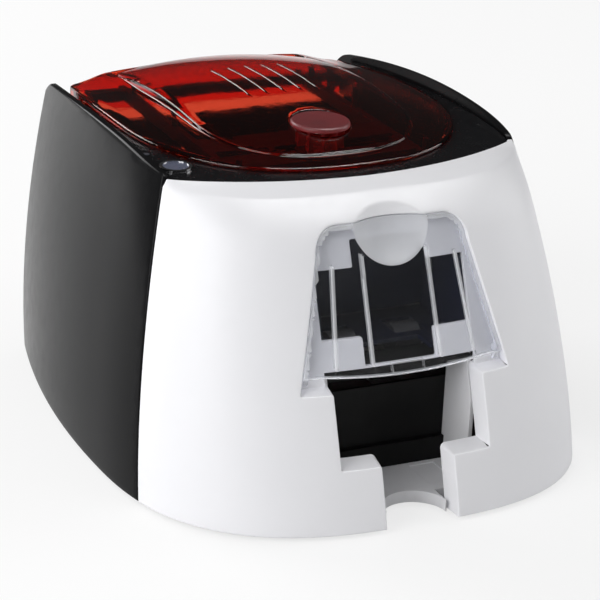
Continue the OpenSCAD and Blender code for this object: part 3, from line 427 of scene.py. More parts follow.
def inside(points: Array, loops: list[Array]) -> Array:
    """Tell which points lie in the first loop and outside the others.

    Args:
        points: the points to test.
        loops: the outer loop, then the holes.

    Returns:
        One truth value per point.
    """
    result = np.zeros(len(points), bool)
    x, y = points[:, :1], points[:, 1:]
    for loop in loops:
        ax, ay = loop.T
        bx, by = np.roll(loop, -1, axis=0).T
        rise = np.where(by == ay, 1e-12, by - ay)
        crosses = ((ay > y) != (by > y)) & (x < (bx - ax) * (y - ay) / rise + ax)
        result ^= crosses.sum(axis=1) % 2 == 1
    return result


def crossed(columns: Array, lines: Array) -> Array:
    """Points where columns and lines cross."""
    return np.stack(np.meshgrid(columns, lines), axis=-1).reshape(-1, 2)


def grid(low: Pair, high: Pair, pitch: float) -> Array:
    """Points of a rectangular grid."""
    columns, lines = (np.linspace(a, b, max(2, round((b - a) / pitch) + 1)) for a, b in zip(low, high))
    return crossed(columns, lines)


def thinned(points: Array, near: Array, distance: float) -> Array:
    """Drop the points that lie within a distance of any of the near points.

    Args:
        points: the points to choose from.
        near: the points to stay clear of.
        distance: how far to stay clear.

    Returns:
        The points that are left.
    """
    keep = np.ones(len(points), bool)
    block = 2000
    for start in range(0, len(points), block):
        part = slice(start, start + block)
        gaps = ((points[part, None, :] - near[None, :, :]) ** 2).sum(axis=2).min(axis=1)
        keep[part] = gaps > distance * distance
    return points[keep]


# ---- meshes ----


class Shell:
    """A closed mesh put together from filled outlines and rings of points, in millimetres."""

    def __init__(self) -> None:
        """Start an empty mesh."""
        self.points: list[Array] = []
        self.faces: list[tuple[int, ...]] = []
        self.count = 0

    def add(self, points: Array) -> Array:
        """Add points.

        Args:
            points: one point per row.

        Returns:
            Their numbers in the mesh.
        """
        numbers = np.arange(self.count, self.count + len(points))
        self.points.append(points)
        self.count += len(points)
        return numbers

    def bridge(self, ring: Array, other: Array) -> None:
        """Join two closed rings of equal length with a band of faces."""
        after, other_after = np.roll(ring, -1), np.roll(other, -1)
        self.faces += list(zip(ring.tolist(), after.tolist(), other_after.tolist(), other.tolist()))

    def loft(self, rings: list[Array]) -> list[Array]:
        """Join a row of rings.

        Args:
            rings: the rings' points, all of the same length.

        Returns:
            The numbers of each ring's points.
        """
        numbers = [self.add(ring) for ring in rings]
        for ring, other in zip(numbers[:-1], numbers[1:]):
            self.bridge(ring, other)
        return numbers

    def tube(self, rings: list[Array]) -> None:
        """Join a row of rings and close both ends."""
        numbers = self.loft(rings)
        self.faces += [tuple(numbers[0].tolist()), tuple(numbers[-1][::-1].tolist())]

    def take(self, other: "Shell") -> None:
        """Add all points and faces of another mesh."""
        numbers = self.add(np.concatenate(other.points)).tolist()
        self.faces += [tuple(numbers[i] for i in face) for face in other.faces]

    def fill(self, loops: list[Array], ids: list[Array], inner: Array,
             place: Callable[[Array], Array], gap: float) -> None:
        """Fill the region between loops with triangles.

        Args:
            loops: the loops in the plane, the outer one first.
            ids: the numbers of the loops' points in the mesh.
            inner: points in the plane that the region may use.
            place: lays points of the plane in space.
            gap: the least distance of an inner point from a loop.
        """
        rims = np.concatenate(loops)
        inner = thinned(inner[inside(inner, loops)], rims, gap)
        numbers = np.concatenate([*ids, self.add(place(inner))])
        edges = []
        for loop in loops:
            start, end = len(edges), len(edges) + len(loop)
            edges += [*zip(range(start, end - 1), range(start + 1, end)), (end - 1, start)]
        flat = [Vector((float(x), float(y))) for x, y in np.concatenate([rims, inner])]
        spots, _, triangles, origins, _, _ = delaunay_2d_cdt(flat, edges, [], 0, 1e-5)
        spots = np.array([tuple(spot) for spot in spots])
        triangles = np.array(triangles)
        kept = triangles[inside(spots[triangles].mean(axis=1), loops)]
        for face in kept:
            if all(origins[i] for i in face):
                self.faces.append(tuple(int(numbers[origins[i][0]]) for i in face))

    def mesh(self, name: str) -> bpy.types.Mesh:
        """Make the Blender mesh.

        Args:
            name: the mesh's name.

        Returns:
            The mesh, in metres, with its faces turned outwards.
        """
        result = bpy.data.meshes.new(name)
        result.from_pydata((np.concatenate(self.points) * MM).tolist(), [], self.faces)
        work = bmesh.new()
        work.from_mesh(result)
        bmesh.ops.remove_doubles(work, verts=work.verts, dist=WELD)
        bmesh.ops.recalc_face_normals(work, faces=work.faces)
        work.to_mesh(result)
        work.free()
        return result


@dataclass
class Rim:
    """One edge of a plate: its outline, its rounding, and the wall that runs back from it."""

    loop: Array
    radius: float
    sink: Values
    draw: Values = 0.0
    flange: Values = 0.4

    def steps(self, wall: float) -> list[tuple[Array, Array]]:
        """Work out the rings of the edge.

        Args:
            wall: the thickness of the plate.

        Returns:
            Outline and depth of each ring, from the plate's face to its back.
        """
        moves = [(self.radius * out, self.radius * down) for out, down in rounding(5)]
        moves += [(-self.draw, self.sink), (self.flange - self.draw, self.sink), (self.flange + 0.3, wall)]
        return [(inset(self.loop, move), depth * np.ones(len(self.loop))) for move, depth in moves]


def plate(rims: list[Rim], inner: Array, place: Place, wall: float, gap: float,
          coarse: int = 3) -> Shell:
    """Build a closed plate with rounded edges.

    Args:
        rims: the outer edge, then the edges of the holes.
        inner: points in the plane for the face.
        place: lays a point of the plane in space at a depth behind the face.
        wall: the thickness.
        gap: the least distance of an inner point from an edge.
        coarse: the back uses one in this many of the inner points.

    Returns:
        The plate's mesh.
    """
    shell = Shell()
    steps = [rim.steps(wall) for rim in rims]
    numbers = [shell.loft([place(outline, depth) for outline, depth in rings]) for rings in steps]
    for end, depth, spots in ((0, 0.0, inner), (-1, wall, inner[::coarse])):
        shell.fill([rings[end][0] for rings in steps], [rings[end] for rings in numbers], spots,
                   lambda at, depth=depth: place(at, np.full(len(at), depth)), gap)
    return shell


def add_piece(name: str, shell: Shell, slot: str, body: Body, node: str) -> bpy.types.Object:
    """Put a shell in the scene as a finished piece that rides on a body.

    Args:
        name: the piece's name.
        shell: its mesh under construction.
        slot: the record's material slot that it fills and that gives its finish.
        body: the body it rides on.
        node: the frame's node that it stands for.

    Returns:
        The piece.
    """
    mesh = shell.mesh(name)
    piece = bpy.data.objects.new(name, mesh)
    bpy.context.scene.collection.objects.link(piece)
    mesh.materials.append(SLOT_FINISHES[slot].build())
    mesh.shade_smooth()
    mesh.set_sharp_from_angle(angle=SHARP_ANGLE)
    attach(piece, body.value)
    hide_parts(node)
    LOG.info("%s: %d faces", name, len(mesh.polygons))
    return piece


def refinish(piece: bpy.types.Object, finish: BaseFinish, test: Callable[[Array], Array]) -> None:
    """Give some faces of a piece a finish of their own.

    Args:
        piece: the piece.
        finish: the other finish.
        test: tells from the faces' centres, in millimetres, which ones get it.
    """
    mesh = piece.data
    centres = np.empty(len(mesh.polygons) * 3)
    mesh.polygons.foreach_get("center", centres)
    numbers = np.empty(len(mesh.polygons), np.int32)
    mesh.polygons.foreach_get("material_index", numbers)
    numbers[test(centres.reshape(-1, 3) / MM)] = len(mesh.materials)
    mesh.materials.append(finish.build())
    mesh.polygons.foreach_set("material_index", numbers)
    mesh.update()


# ---- casing ----


@dataclass(frozen=True)
class CasingForm:
    """The smooth outer form that the front cover, the side panels and the deck share."""

    width: float = 283.0
    front_y: float = -161.0
    foot: float = 2.5
    rise: float = 174.0
    side_lean: float = 26.7
    side_power: float = 1.85
    front_lean: float = 65.0
    front_power: float = 1.12
    plan_power: float = 2.75
    plan_power_gain: float = 0.45
    belly_low_y: float = -23.5
    belly_shift: float = 42.0
    side_bow: float = 0.00081
    seam_low_y: float = -80.5
    seam_shift: float = 38.5
    seam_bow: float = 12.0
    crease_t: float = 0.977
    shoulder_set_back: float = 10.5
    shoulder_t: float = 0.84
    shoulder_span: float = 0.137
    seam_arc_r: float = 221.0
    seam_front_y: float = -71.6
    deck_drop: float = 0.6
    deck_fall: float = 0.0004
    wing_rise: float = 6.3
    wing_top_y: float = 25.0
    wing_falls: Pair = (0.001, 0.0007)

    def level(self, z: Values) -> Values:
        """Level t of a height, 0 at the lower edge and 1 at the deck."""
        return (z - self.foot) / self.rise

    def height(self, t: Values) -> Values:
        """Height of level t."""
        return self.foot + self.rise * t

    def half_w(self, t: Values) -> Values:
        """Half width of the casing at level t."""
        return self.width / 2 - self.side_lean * np.maximum(t, 0) ** self.side_power

    def belly_y(self, t: Values) -> Values:
        """Depth at which the casing is widest."""
        return self.belly_low_y + self.belly_shift * t

    def reach(self, t: Values) -> Values:
        """Distance from the belly to the front face."""
        return self.belly_y(t) - self.front_y - self.front_lean * np.maximum(t, 0) ** self.front_power

    def squareness(self, t: Values) -> Values:
        """Exponent of the front's plan outline."""
        return self.plan_power + self.plan_power_gain * t

    def seam_y(self, t: Values) -> Values:
        """Depth of the seam between the front cover and a side panel."""
        return self.seam_low_y + self.seam_shift * t - self.seam_bow * t * (1 - t)

    def rest(self, part: Values, t: Values) -> Values:
        """The other coordinate of the front's plan outline where one of them is given."""
        n = self.squareness(t)
        return (1 - part**n) ** (1 / n)

    def size(self, turn: Values, t: Values) -> Values:
        """Length of the plan outline's spoke at a plan angle."""
        n = self.squareness(t)
        return (np.abs(np.sin(turn)) ** n + np.cos(turn) ** n) ** (-1 / n)

    def set_back(self, t: Values) -> Values:
        """How far the face draws back towards the crease at its top."""
        return self.shoulder_set_back * np.maximum(0, (t - self.shoulder_t) / self.shoulder_span) ** 2

    def side_x(self, t: Values, y: Values) -> Values:
        """Half width at level t and depth y.

        Args:
            t: level.
            y: depth.

        Returns:
            The half width.
        """
        off = y - self.belly_y(t)
        front = np.clip(-off / self.reach(t), 0, 1)
        return self.half_w(t) * self.rest(front, t) - self.side_bow * np.maximum(off, 0) ** 2

    def turn_at(self, x: Values, z: Values) -> Values:
        """Plan angle of the face's point at half width x and height z.

        Args:
            x: half width, negative on the left.
            z: height.

        Returns:
            The plan angle, negative on the left.
        """
        t = self.level(z)
        across = np.clip(np.abs(x) / self.half_w(t), 0, 1)
        return np.sign(x) * np.arctan2(across, self.rest(across, t))

    def ahead(self, t: Values) -> Values:
        """How far the seam lies towards the front face at level t."""
        return (self.belly_y(t) - self.seam_y(t)) / self.reach(t)

    def seam_turn(self, t: Values) -> Values:
        """Plan angle of the seam at level t."""
        ahead = self.ahead(t)
        return np.arctan2(self.rest(ahead, t), ahead)

    def share(self, turn: Values, t: Values) -> Values:
        """How far a plan angle is from the middle, -1 and 1 at the seams.

        Args:
            turn: plan angle.
            t: level.

        Returns:
            The share, negative on the left.
        """
        n = self.squareness(t)
        seam = np.arcsin(self.ahead(t) ** (n / 2))
        angle = np.arccos(np.clip(np.abs(np.sin(turn)) * self.size(turn, t), 0, 1) ** (n / 2))
        return np.sign(turn) * np.clip((QUARTER - angle) / (QUARTER - seam), 0, 1)

    def face(self, turn: Values, z: Values) -> Values:
        """Point of the outer form at a plan angle and a height.

        Args:
            turn: plan angle.
            z: height.

        Returns:
            One point per row.
        """
        t = self.level(z)
        size = self.size(turn, t)
        shift = self.set_back(t) * (1 - np.abs(self.share(turn, t)) ** 6)
        y = self.belly_y(t) - self.reach(t) * np.cos(turn) * size + shift
        return rows(self.half_w(t) * np.sin(turn) * size, y, z)

    def face_y(self, x: Values, z: Values) -> Values:
        """Depth of the front face at half width x and height z."""
        t = self.level(z)
        return self.belly_y(t) - self.reach(t) * self.rest(np.abs(x) / self.half_w(t), t) + self.set_back(t)

    def seam_arc_y(self, x: Values) -> Values:
        """Depth of the front edge of the deck."""
        return self.seam_front_y + self.seam_arc_r - np.sqrt(self.seam_arc_r**2 - x * x)

    def deck_z(self, y: Values) -> Values:
        """Height of the deck's top face."""
        return self.foot + self.rise - self.deck_drop - self.deck_fall * np.maximum(y, 0) ** 2

    def wing_z(self, y: Values) -> Values:
        """Height of the top edge of a side panel."""
        fall = np.where(y < self.wing_top_y, *self.wing_falls)
        return self.foot + self.rise + self.wing_rise - fall * (y - self.wing_top_y) ** 2


FORM = CasingForm()


@dataclass(frozen=True)
class Dish:
    """The round finger dish that the front cover and the feeder cover share."""

    y: float = -139.466
    z: float = 174.653
    ball: float = 46.75

    def depth_y(self, x: Array, z: Array) -> Array:
        """Depth of the ball's far side, or far in front of the face where it has none."""
        spare = self.ball**2 - x * x - (z - self.z) ** 2
        return np.where(spare > 0, self.y + np.sqrt(np.maximum(spare, 0)), -400.0)


@dataclass(frozen=True)
class Pocket:
    """The outline of the feeder cover and of the recess that holds it."""

    low_z: float = 84.0
    top_z: float = 160.0
    half_low: float = 62.0
    half_high: float = 45.5
    corner: float = 14.0
    span: float = 66.0

    def half(self, z: float) -> float:
        """Half width at a height."""
        return self.half_low + (self.half_high - self.half_low) * (z - self.low_z) / self.span

    def path(self, low: float, grow: float) -> Array:
        """Open path from the lower left corner over the top to the lower right one.

        Args:
            low: height of the two ends.
            grow: how far the path lies outside the cover.

        Returns:
            The path's points.
        """
        turn_z = self.top_z - self.corner
        middle = self.half(turn_z) - self.corner
        reach = self.corner + grow
        arc = np.radians(np.arange(0, 91, 7.5))
        left = rows(-middle - reach * np.cos(arc), turn_z + reach * np.sin(arc))
        right = rows(middle + reach * np.cos(arc[::-1]), turn_z + reach * np.sin(arc[::-1]))
        ends = np.array([[-self.half(low) - grow, low], [self.half(low) + grow, low]])
        return np.concatenate([ends[:1], left, right, ends[1:]])


@dataclass
class FrontCover:
    """The white cover that wraps the front, with the feeder recess and the mouth of the output bay."""

    dish: Dish = field(default_factory=Dish)
    pocket: Pocket = field(default_factory=Pocket)
    wall: float = 3.0
    pitch: float = 3.0
    edge: float = 0.8
    crease_soft: float = 2.2
    recess: float = 9.0
    mouth: float = 12.5
    mouth_draw: float = 2.0
    bay_half: float = 46.1
    slot_half: float = 22.3
    shoulder_z: float = 36.4
    pocket_low_z: float = 76.0
    flange: float = 2.5
    measured_z: float = 89.5
    deck_gap: float = 0.3
    mouth_half: float = 70.0
    mouth_top: float = 166.0
    slot_side: float = 3.5
    foot_margin: float = 12.0
    floor_wall: float = 2.5
    notch_z: Pair = (74.5, 84.0)
    mouth_corners: tuple[Pair, ...] = ((0, 85), (22, 85), (22, 100), (46, 100), (46, 135.7), (23, 135.7),
                                       (23, 150), (0, 150))

    def __post_init__(self) -> None:
        """Measure the length along the front for every plan angle."""
        self.turns = np.linspace(0, 1.3, 400)
        line = FORM.face(self.turns, np.full(400, self.measured_z))
        steps = np.linalg.norm(np.diff(line, axis=0), axis=1)
        self.lengths = np.concatenate([[0.0], np.cumsum(steps)])
        self.crease_z = FORM.height(FORM.crease_t)

    def along(self, turn: Array) -> Array:
        """Length along the front at a plan angle."""
        return np.sign(turn) * np.interp(np.abs(turn), self.turns, self.lengths)

    def turn_of(self, length: Array) -> Array:
        """Plan angle at a length along the front."""
        return np.sign(length) * np.interp(np.abs(length), self.lengths, self.turns)

    def lip(self, turn: Array) -> tuple[Array, Array]:
        """Point of the deck's seam above a plan angle, and its distance from the crease.

        Args:
            turn: plan angles of the cover.

        Returns:
            The points, and their distances.
        """
        low = FORM.face(turn, np.full(len(turn), self.crease_z))
        corner_x = float(FORM.side_x(1.0, FORM.seam_y(1.0)))
        x = FORM.share(turn, FORM.crease_t) * corner_x
        top = rows(x, FORM.seam_arc_y(x) - self.deck_gap, FORM.height(1))
        return top, np.linalg.norm(top - low, axis=1)

    def raw(self, spots: Array) -> Array:
        """Outer surface with a sharp crease.

        Args:
            spots: length along the front and running height.

        Returns:
            One point in space per spot.
        """
        turn = self.turn_of(spots[:, 0])
        z = np.minimum(spots[:, 1], self.crease_z)
        points = FORM.face(turn, z)
        dip = self.dish.depth_y(points[:, 0], z)
        points[:, 1] = smooth_max(points[:, 1], dip, 0.5)
        top, length = self.lip(turn)
        part = np.clip((spots[:, 1] - self.crease_z) / length, 0, 1)[:, None]
        return points + (top - points) * part

    def surface(self, spots: Array) -> Array:
        """Outer surface with a soft crease.

        Args:
            spots: length along the front and running height.

        Returns:
            One point in space per spot.
        """
        low, mid, high = (self.raw(rows(spots[:, 0], self.crease_z + off))
                          for off in (-self.crease_soft, 0.0, self.crease_soft))
        start = self.crease_z - self.crease_soft
        v = np.clip((spots[:, 1] - start) / (2 * self.crease_soft), 0, 1)[:, None]
        soft = curve(low, mid, high, v)
        near = (v > 0) & (v < 1)
        return np.where(near, soft, self.raw(spots))

    def place(self, spots: Array, depth: Array) -> Array:
        """Lay a spot of the outline's plane at a depth behind the outer surface.

        Args:
            spots: length along the front and running height.
            depth: how far behind the surface each spot lies.

        Returns:
            One point in space per spot.
        """
        step = 0.3
        here = self.surface(spots)
        across = self.surface(spots + [step, 0]) - self.surface(spots - [step, 0])
        upward = self.surface(spots + [0, step]) - self.surface(spots - [0, step])
        normal = unit(np.cross(across, upward))
        shallow = np.minimum(depth, self.wall)[:, None]
        straight = self.is_mouth(here)[:, None] & (depth[:, None] > self.edge + 0.01)
        sunk = here - normal * self.edge + np.array([0, 1, 0]) * (depth[:, None] - self.edge)
        return np.where(straight, sunk, here - normal * shallow)

    def is_mouth(self, points: Array) -> Array:
        """Tell which points lie around the recess and the bay, and in the finger slot down to its foot.

        Args:
            points: points in space.

        Returns:
            One truth value per point.
        """
        x, _, z = points.T
        foot_clear = np.where(np.abs(x) < self.slot_half + self.slot_side, -np.inf, self.foot_margin)
        return (np.abs(x) < self.mouth_half) & (z < self.mouth_top) & (z > foot_clear)

    def outline(self) -> tuple[Array, Array]:
        """Work out the cover's edge.

        Returns:
            The closed loop in the outline's plane, and the points of it that edge an opening.
        """
        levels = np.linspace(0, FORM.crease_t, 60)
        seam = rows(self.along(FORM.seam_turn(levels)), FORM.height(levels))
        end = seam[-1, 0]
        lengths = np.linspace(end, -end, 200)
        _, rise = self.lip(self.turn_of(lengths))
        top = rows(lengths, self.crease_z + rise)
        start = self.to_plane(np.array([[self.slot_half, FORM.foot]]))[0, 0]
        right = np.concatenate([rows(np.linspace(start, seam[0, 0], 60), FORM.foot), seam[1:]])
        outer = np.concatenate([right, top[1:-1], right[::-1] * [-1, 1]])
        ledge = [(-self.slot_half, FORM.foot), (-self.slot_half, self.shoulder_z),
                 (-self.bay_half, self.shoulder_z), (-self.bay_half, self.pocket_low_z)]
        over = self.pocket.path(self.pocket_low_z, 0.6)
        path = [*ledge, *map(tuple, over), *[(-x, z) for x, z in reversed(ledge)]]
        opening = self.to_plane(spaced(filleted(path, 1.2), 1.6))[1:-1]
        loop = np.concatenate([outer, opening])
        return loop, np.concatenate([np.zeros(len(outer), bool), np.ones(len(opening), bool)])

    def to_plane(self, flat: Array) -> Array:
        """Turn points of the front view into the outline's plane."""
        return rows(self.along(FORM.turn_at(flat[:, 0], flat[:, 1])), flat[:, 1])

    def inner_points(self, end: float) -> Array:
        """Points for the outer face, closer together near the crease and in the dish.

        Args:
            end: the greatest length along the front.

        Returns:
            The points in the outline's plane.
        """
        spans = (4, 148, self.pitch), (148, 168, 1.5), (168.5, 176, 0.7), (176.4, 200, 1.6)
        lines = np.concatenate([np.arange(*span) for span in spans])
        coarse = crossed(np.linspace(-end - 8, end + 8, 130), lines)
        fine = grid((-25, 158), (25, 184), 1.1)
        return np.concatenate([thinned(coarse, fine, 1.0), fine])

    def build_shell(self) -> Shell:
        """Build the skin with its openings.

        Returns:
            The skin's mesh.
        """
        loop, opening = self.outline()
        z = loop[:, 1]
        bay = opening & (z < self.pocket_low_z + 0.5)
        x = np.abs(self.surface(loop)[:, 0])
        held = self.dish.depth_y(x, z) - FORM.face_y(np.minimum(x, self.mouth_half), np.minimum(z, 170))
        sink = np.where(bay, self.mouth, self.recess - np.clip(held, 0, 6))
        sink = np.where(opening, sink, self.wall)
        draw, flange = np.where(bay, self.mouth_draw, 0.0), np.where(opening, self.flange, 0.5)
        inner = self.inner_points(float(loop[:, 0].max()))
        return plate([Rim(loop, self.edge, sink, draw, flange)], inner, self.place, self.wall, 0.9)

    def build_floor(self, shell: Shell) -> None:
        """Add the floor of the feeder recess with the mouth of the hopper.

        Args:
            shell: the mesh that it is added to.
        """
        path = self.pocket.path(self.pocket_low_z - 1.5, 1.8)
        notch_x, (low, high) = self.bay_half + 0.6, self.notch_z
        notch = np.array([[notch_x, low], [notch_x, high], [-notch_x, high], [-notch_x, low]])
        loop = spaced_loop(np.concatenate([path, notch]), 2.5, True)
        half = filleted(self.mouth_corners, 1.2)
        hole = spaced_loop(np.concatenate([half, half[-2:0:-1] * [-1, 1]]), 2.5, False)

        def place(spots: Array, depth: Array) -> Array:
            """Lay a spot behind the front face."""
            y = FORM.face_y(spots[:, 0], spots[:, 1]) + self.recess + depth
            return rows(spots[:, 0], y, spots[:, 1])

        rims = [Rim(loop, 0.3, self.floor_wall), Rim(hole, 0.5, self.floor_wall)]
        shell.take(plate(rims, grid((-66, 72), (66, 164), 4), place, self.floor_wall, 1.5))

    def build(self) -> None:
        """Build the cover."""
        shell = self.build_shell()
        self.build_floor(shell)
        add_piece("front_cover_shell", shell, "white_plastic", Body.CASING, "front_cover")


@dataclass
class SidePanel:
    """One black side panel; the same form serves both sides."""

    side: str
    sign: float
    wall: float = 3.2
    edge: float = 1.2
    gap: float = 0.5
    tip_y: float = 161.0
    foot_rear_y: float = 149.5
    tuck: float = 0.47
    tuck_span: Pair = (60.0, -40.0)

    def outline(self) -> Array:
        """Work out the panel's closed edge.

        Returns:
            Depth and height of each point.
        """
        levels = np.linspace(0, 1.005, 70)
        seam = rows(FORM.seam_y(levels) + self.gap, FORM.height(levels))
        y = np.linspace(seam[-1, 0], self.tip_y, 90)
        span = (self.tip_y - y) / (self.tip_y - seam[-1, 0])
        drop = 5 * np.clip((0.06 - span) / 0.06, 0, 1) ** 2
        top = rows(y, FORM.wing_z(y) - drop)
        down = np.linspace(0, 1, 40)[1:-1, None]
        rear = top[-1] + (np.array([self.foot_rear_y, FORM.foot]) - top[-1]) * down
        floor = rows(np.linspace(self.foot_rear_y, seam[0, 0], 60), FORM.foot)
        return turned(np.concatenate([seam, top[1:], rear, floor[:-1]]), True)

    def place(self, spots: Array, depth: Array) -> Array:
        """Lay a spot at a depth behind the outer face.

        Args:
            spots: depth and height.
            depth: how far behind the face each spot lies.

        Returns:
            One point in space per spot.
        """
        y, z = spots.T
        x = FORM.side_x(FORM.level(z), y) - depth
        return rows(self.sign * x, y + self.tuck * depth * smooth_step(*self.tuck_span, y), z)

    def build(self) -> None:
        """Build the panel."""
        shell = plate([Rim(self.outline(), self.edge, self.wall, 0.0, 0.6)], grid((-85, 0), (165, 186), 3.4),
                      self.place, self.wall, 1.6)
        add_piece(f"side_shell_{self.side}", shell, "black_texture", Body.CASING,
                  f"side_panel_{self.side}")


@dataclass(frozen=True)
class Lobe:
    """A closed outline with a rounded front, sides that draw in and a straight rear edge.

    It is widest at mid_y and reaches forward from there. The rear edge lies at end_y, between two rounded
    corners, and moves by no more than rear_grow when the outline grows."""

    half: float
    mid_y: float
    reach: float
    power: float
    rear_half: float
    end_y: float
    corner: float
    rear_grow: float = math.inf

    def outline(self, grow: float) -> Array:
        """Work out the outline.

        Args:
            grow: how far it is grown outwards.

        Returns:
            The outline's points; every outline has the same number of them.
        """
        half, rear_half, corner = self.half + grow, self.rear_half + grow, self.corner
        end_y = self.end_y + min(grow, self.rear_grow)
        a = np.linspace(0, math.pi, 121)
        front = rows(np.sign(np.cos(a)) * half * np.abs(np.cos(a)) ** (2 / self.power),
                     self.mid_y - (self.reach + grow) * np.sin(a) ** (2 / self.power))
        v = np.linspace(0, 1, 31)[1:]
        side = rows(half + (rear_half - half) * v * v, self.mid_y + (end_y - corner - self.mid_y) * v)
        b = np.linspace(0, QUARTER, 9)[1:]
        turn = rows(rear_half - corner * (1 - np.cos(b)), end_y - corner * (1 - np.sin(b)))
        rear = rows(np.linspace(corner - rear_half, rear_half - corner, 32)[1:-1], end_y)
        return np.concatenate([front, side * [-1, 1], turn * [-1, 1], rear, turn[::-1], side[::-1]])


LID_EDGE = Lobe(half=99, mid_y=47.8, reach=107, power=2.3, rear_half=90, end_y=152.6, corner=6)
WINDOW_EDGE = Lobe(half=65, mid_y=30, reach=75.5, power=2.5, rear_half=63, end_y=151.6, corner=3,
                   rear_grow=0.5)


@dataclass
class Deck:
    """The near-black deck around the lid."""

    wall: float = 3.0
    well_depth: float = 8.0
    cut_y: float = 104.0
    ledge: float = 4.0
    lid_gap: float = 0.9
    strip_in: float = 94.2
    strip_y: float = 126.0
    rear_y: float = 150.0
    side_gap: float = 3.8
    button: Triple = (-95.5, -25.5, 9.25)
    lenses: tuple[Pair, ...] = ((-104.5, 14.5), (-102.5, 0.5))

    def side_x(self, y: Array) -> Array:
        """Half width of the deck between the side panels."""
        return FORM.side_x(1.0, y) - self.side_gap

    def outline(self) -> tuple[Array, Array]:
        """Work out the closed U-shaped edge.

        Returns:
            The edge's points, and the depth of the wall under each.
        """
        front_y = float(FORM.seam_y(1.0)) + 0.8
        y = np.linspace(self.rear_y, front_y, 60)
        side = rows(self.side_x(y), y)
        x = np.linspace(side[-1, 0], 0, 60)[1:]
        front = rows(x, FORM.seam_arc_y(x) + 0.2)
        hole = LID_EDGE.outline(-self.ledge)
        well, rear = (line[(line[:, 0] > 0.01) & (line[:, 1] > low) & (line[:, 1] < high)]
                      for line, low, high in ((hole, -math.inf, self.cut_y),
                                              (LID_EDGE.outline(self.lid_gap), self.cut_y, self.strip_y)))
        well, rear = (line[np.argsort(line[:, 1])] for line in (well, rear))
        strip = [[self.strip_in, self.strip_y + 0.5], [self.strip_in, self.rear_y]]
        inner = np.concatenate([[[0.0, hole[:, 1].min()]], well, rear, strip])
        right = np.concatenate([inner, side, front])
        loop = np.concatenate([right, right[-2:0:-1] * [-1, 1]])
        number = np.arange(len(loop))
        around = (number < len(inner)) | (number > len(loop) - len(inner))
        sink = np.where(around & (loop[:, 1] < self.cut_y - 1), self.well_depth, self.wall)
        return (loop, sink) if turned(loop, True) is loop else (loop[::-1].copy(), sink[::-1].copy())

    def place(self, spots: Array, depth: Array) -> Array:
        """Lay a spot at a depth under the deck."""
        return rows(spots[:, 0], spots[:, 1], FORM.deck_z(spots[:, 1]) - depth)

    def build(self) -> None:
        """Build the deck."""
        loop, sink = self.outline()
        rims = [Rim(loop, 0.4, sink, 0.0, 1.2)]
        rims.append(Rim(turned(circle(*self.button), False), 0.3, self.wall))
        rims += [Rim(turned(circle(x, y, 2.02, 32), False), 0.1, self.wall, 0.0, 0.2) for x, y in self.lenses]
        shell = plate(rims, grid((-112, -74), (112, self.rear_y), 3.2), self.place, self.wall, 1.0)
        add_piece("deck_shell", shell, "deck_black", Body.CASING, "top_deck")


# ---- lid ----


@dataclass
class LidForm:
    """Heights of the lid's surfaces."""

    crown: float = 192.5
    wall: float = 2.5
    window_bow: float = 0.0015
    window_top_y: float = 55.0
    window_falls: Pair = (0.00105, 0.0014)
    shelf_drop: float = 7.2
    shelf_bow: float = 0.00068
    shelf_top_y: float = 35.0
    shelf_fall: float = 0.00078
    rear_lift: float = 3.0
    lift_y: Pair = (90.0, 150.0)
    lift_x: Pair = (84.0, 64.0)
    skirt_y: Pair = (118.0, 126.0)
    skirt_z: float = 150.0
    ridge_half: float = 0.75
    ridge_rise: float = 0.55
    ridges: tuple[float, ...] = (-22.0, -11.0, 0.0, 11.0, 22.0)
    ridge_span: Pair = (36.5, 93.0)

    def window_z(self, spots: Array) -> Array:
        """Height of the raised window.

        Args:
            spots: spots seen from above.

        Returns:
            One height per spot.
        """
        x, y = spots.T
        fall = np.where(y < self.window_top_y, *self.window_falls)
        return self.crown - self.window_bow * x * x - fall * (y - self.window_top_y) ** 2

    def ridged_z(self, spots: Array) -> Array:
        """Height of the window with its ridges.

        Args:
            spots: spots seen from above.

        Returns:
            One height per spot.
        """
        x, y = spots.T
        low, high = self.ridge_span
        ends = smooth_step(low - 1, low + 5, y) * smooth_step(high + 1, high - 5, y)
        off = np.min([np.abs(x - middle) for middle in self.ridges], axis=0)
        swell = np.sqrt(np.clip(1 - (off / self.ridge_half) ** 2, 0, 1))
        return self.window_z(spots) + self.ridge_rise * swell * ends

    def shelf_z(self, spots: Array) -> Array:
        """Height of the shelf around the window.

        Args:
            spots: spots seen from above.

        Returns:
            One height per spot.
        """
        x, y = spots.T
        lift = self.rear_lift * smooth_step(*self.lift_y, y) * smooth_step(*self.lift_x, np.abs(x))
        fall = self.shelf_bow * x * x
        return self.crown - self.shelf_drop - fall - self.shelf_fall * (y - self.shelf_top_y) ** 2 + lift

    def rim_z(self, spots: Array) -> Array:
        """Height of the lid's lower edge, which drops to a skirt at the rear."""
        ease = smooth_step(*self.skirt_y, spots[:, 1])
        return (FORM.deck_z(spots[:, 1]) + 0.5) * (1 - ease) + self.skirt_z * ease


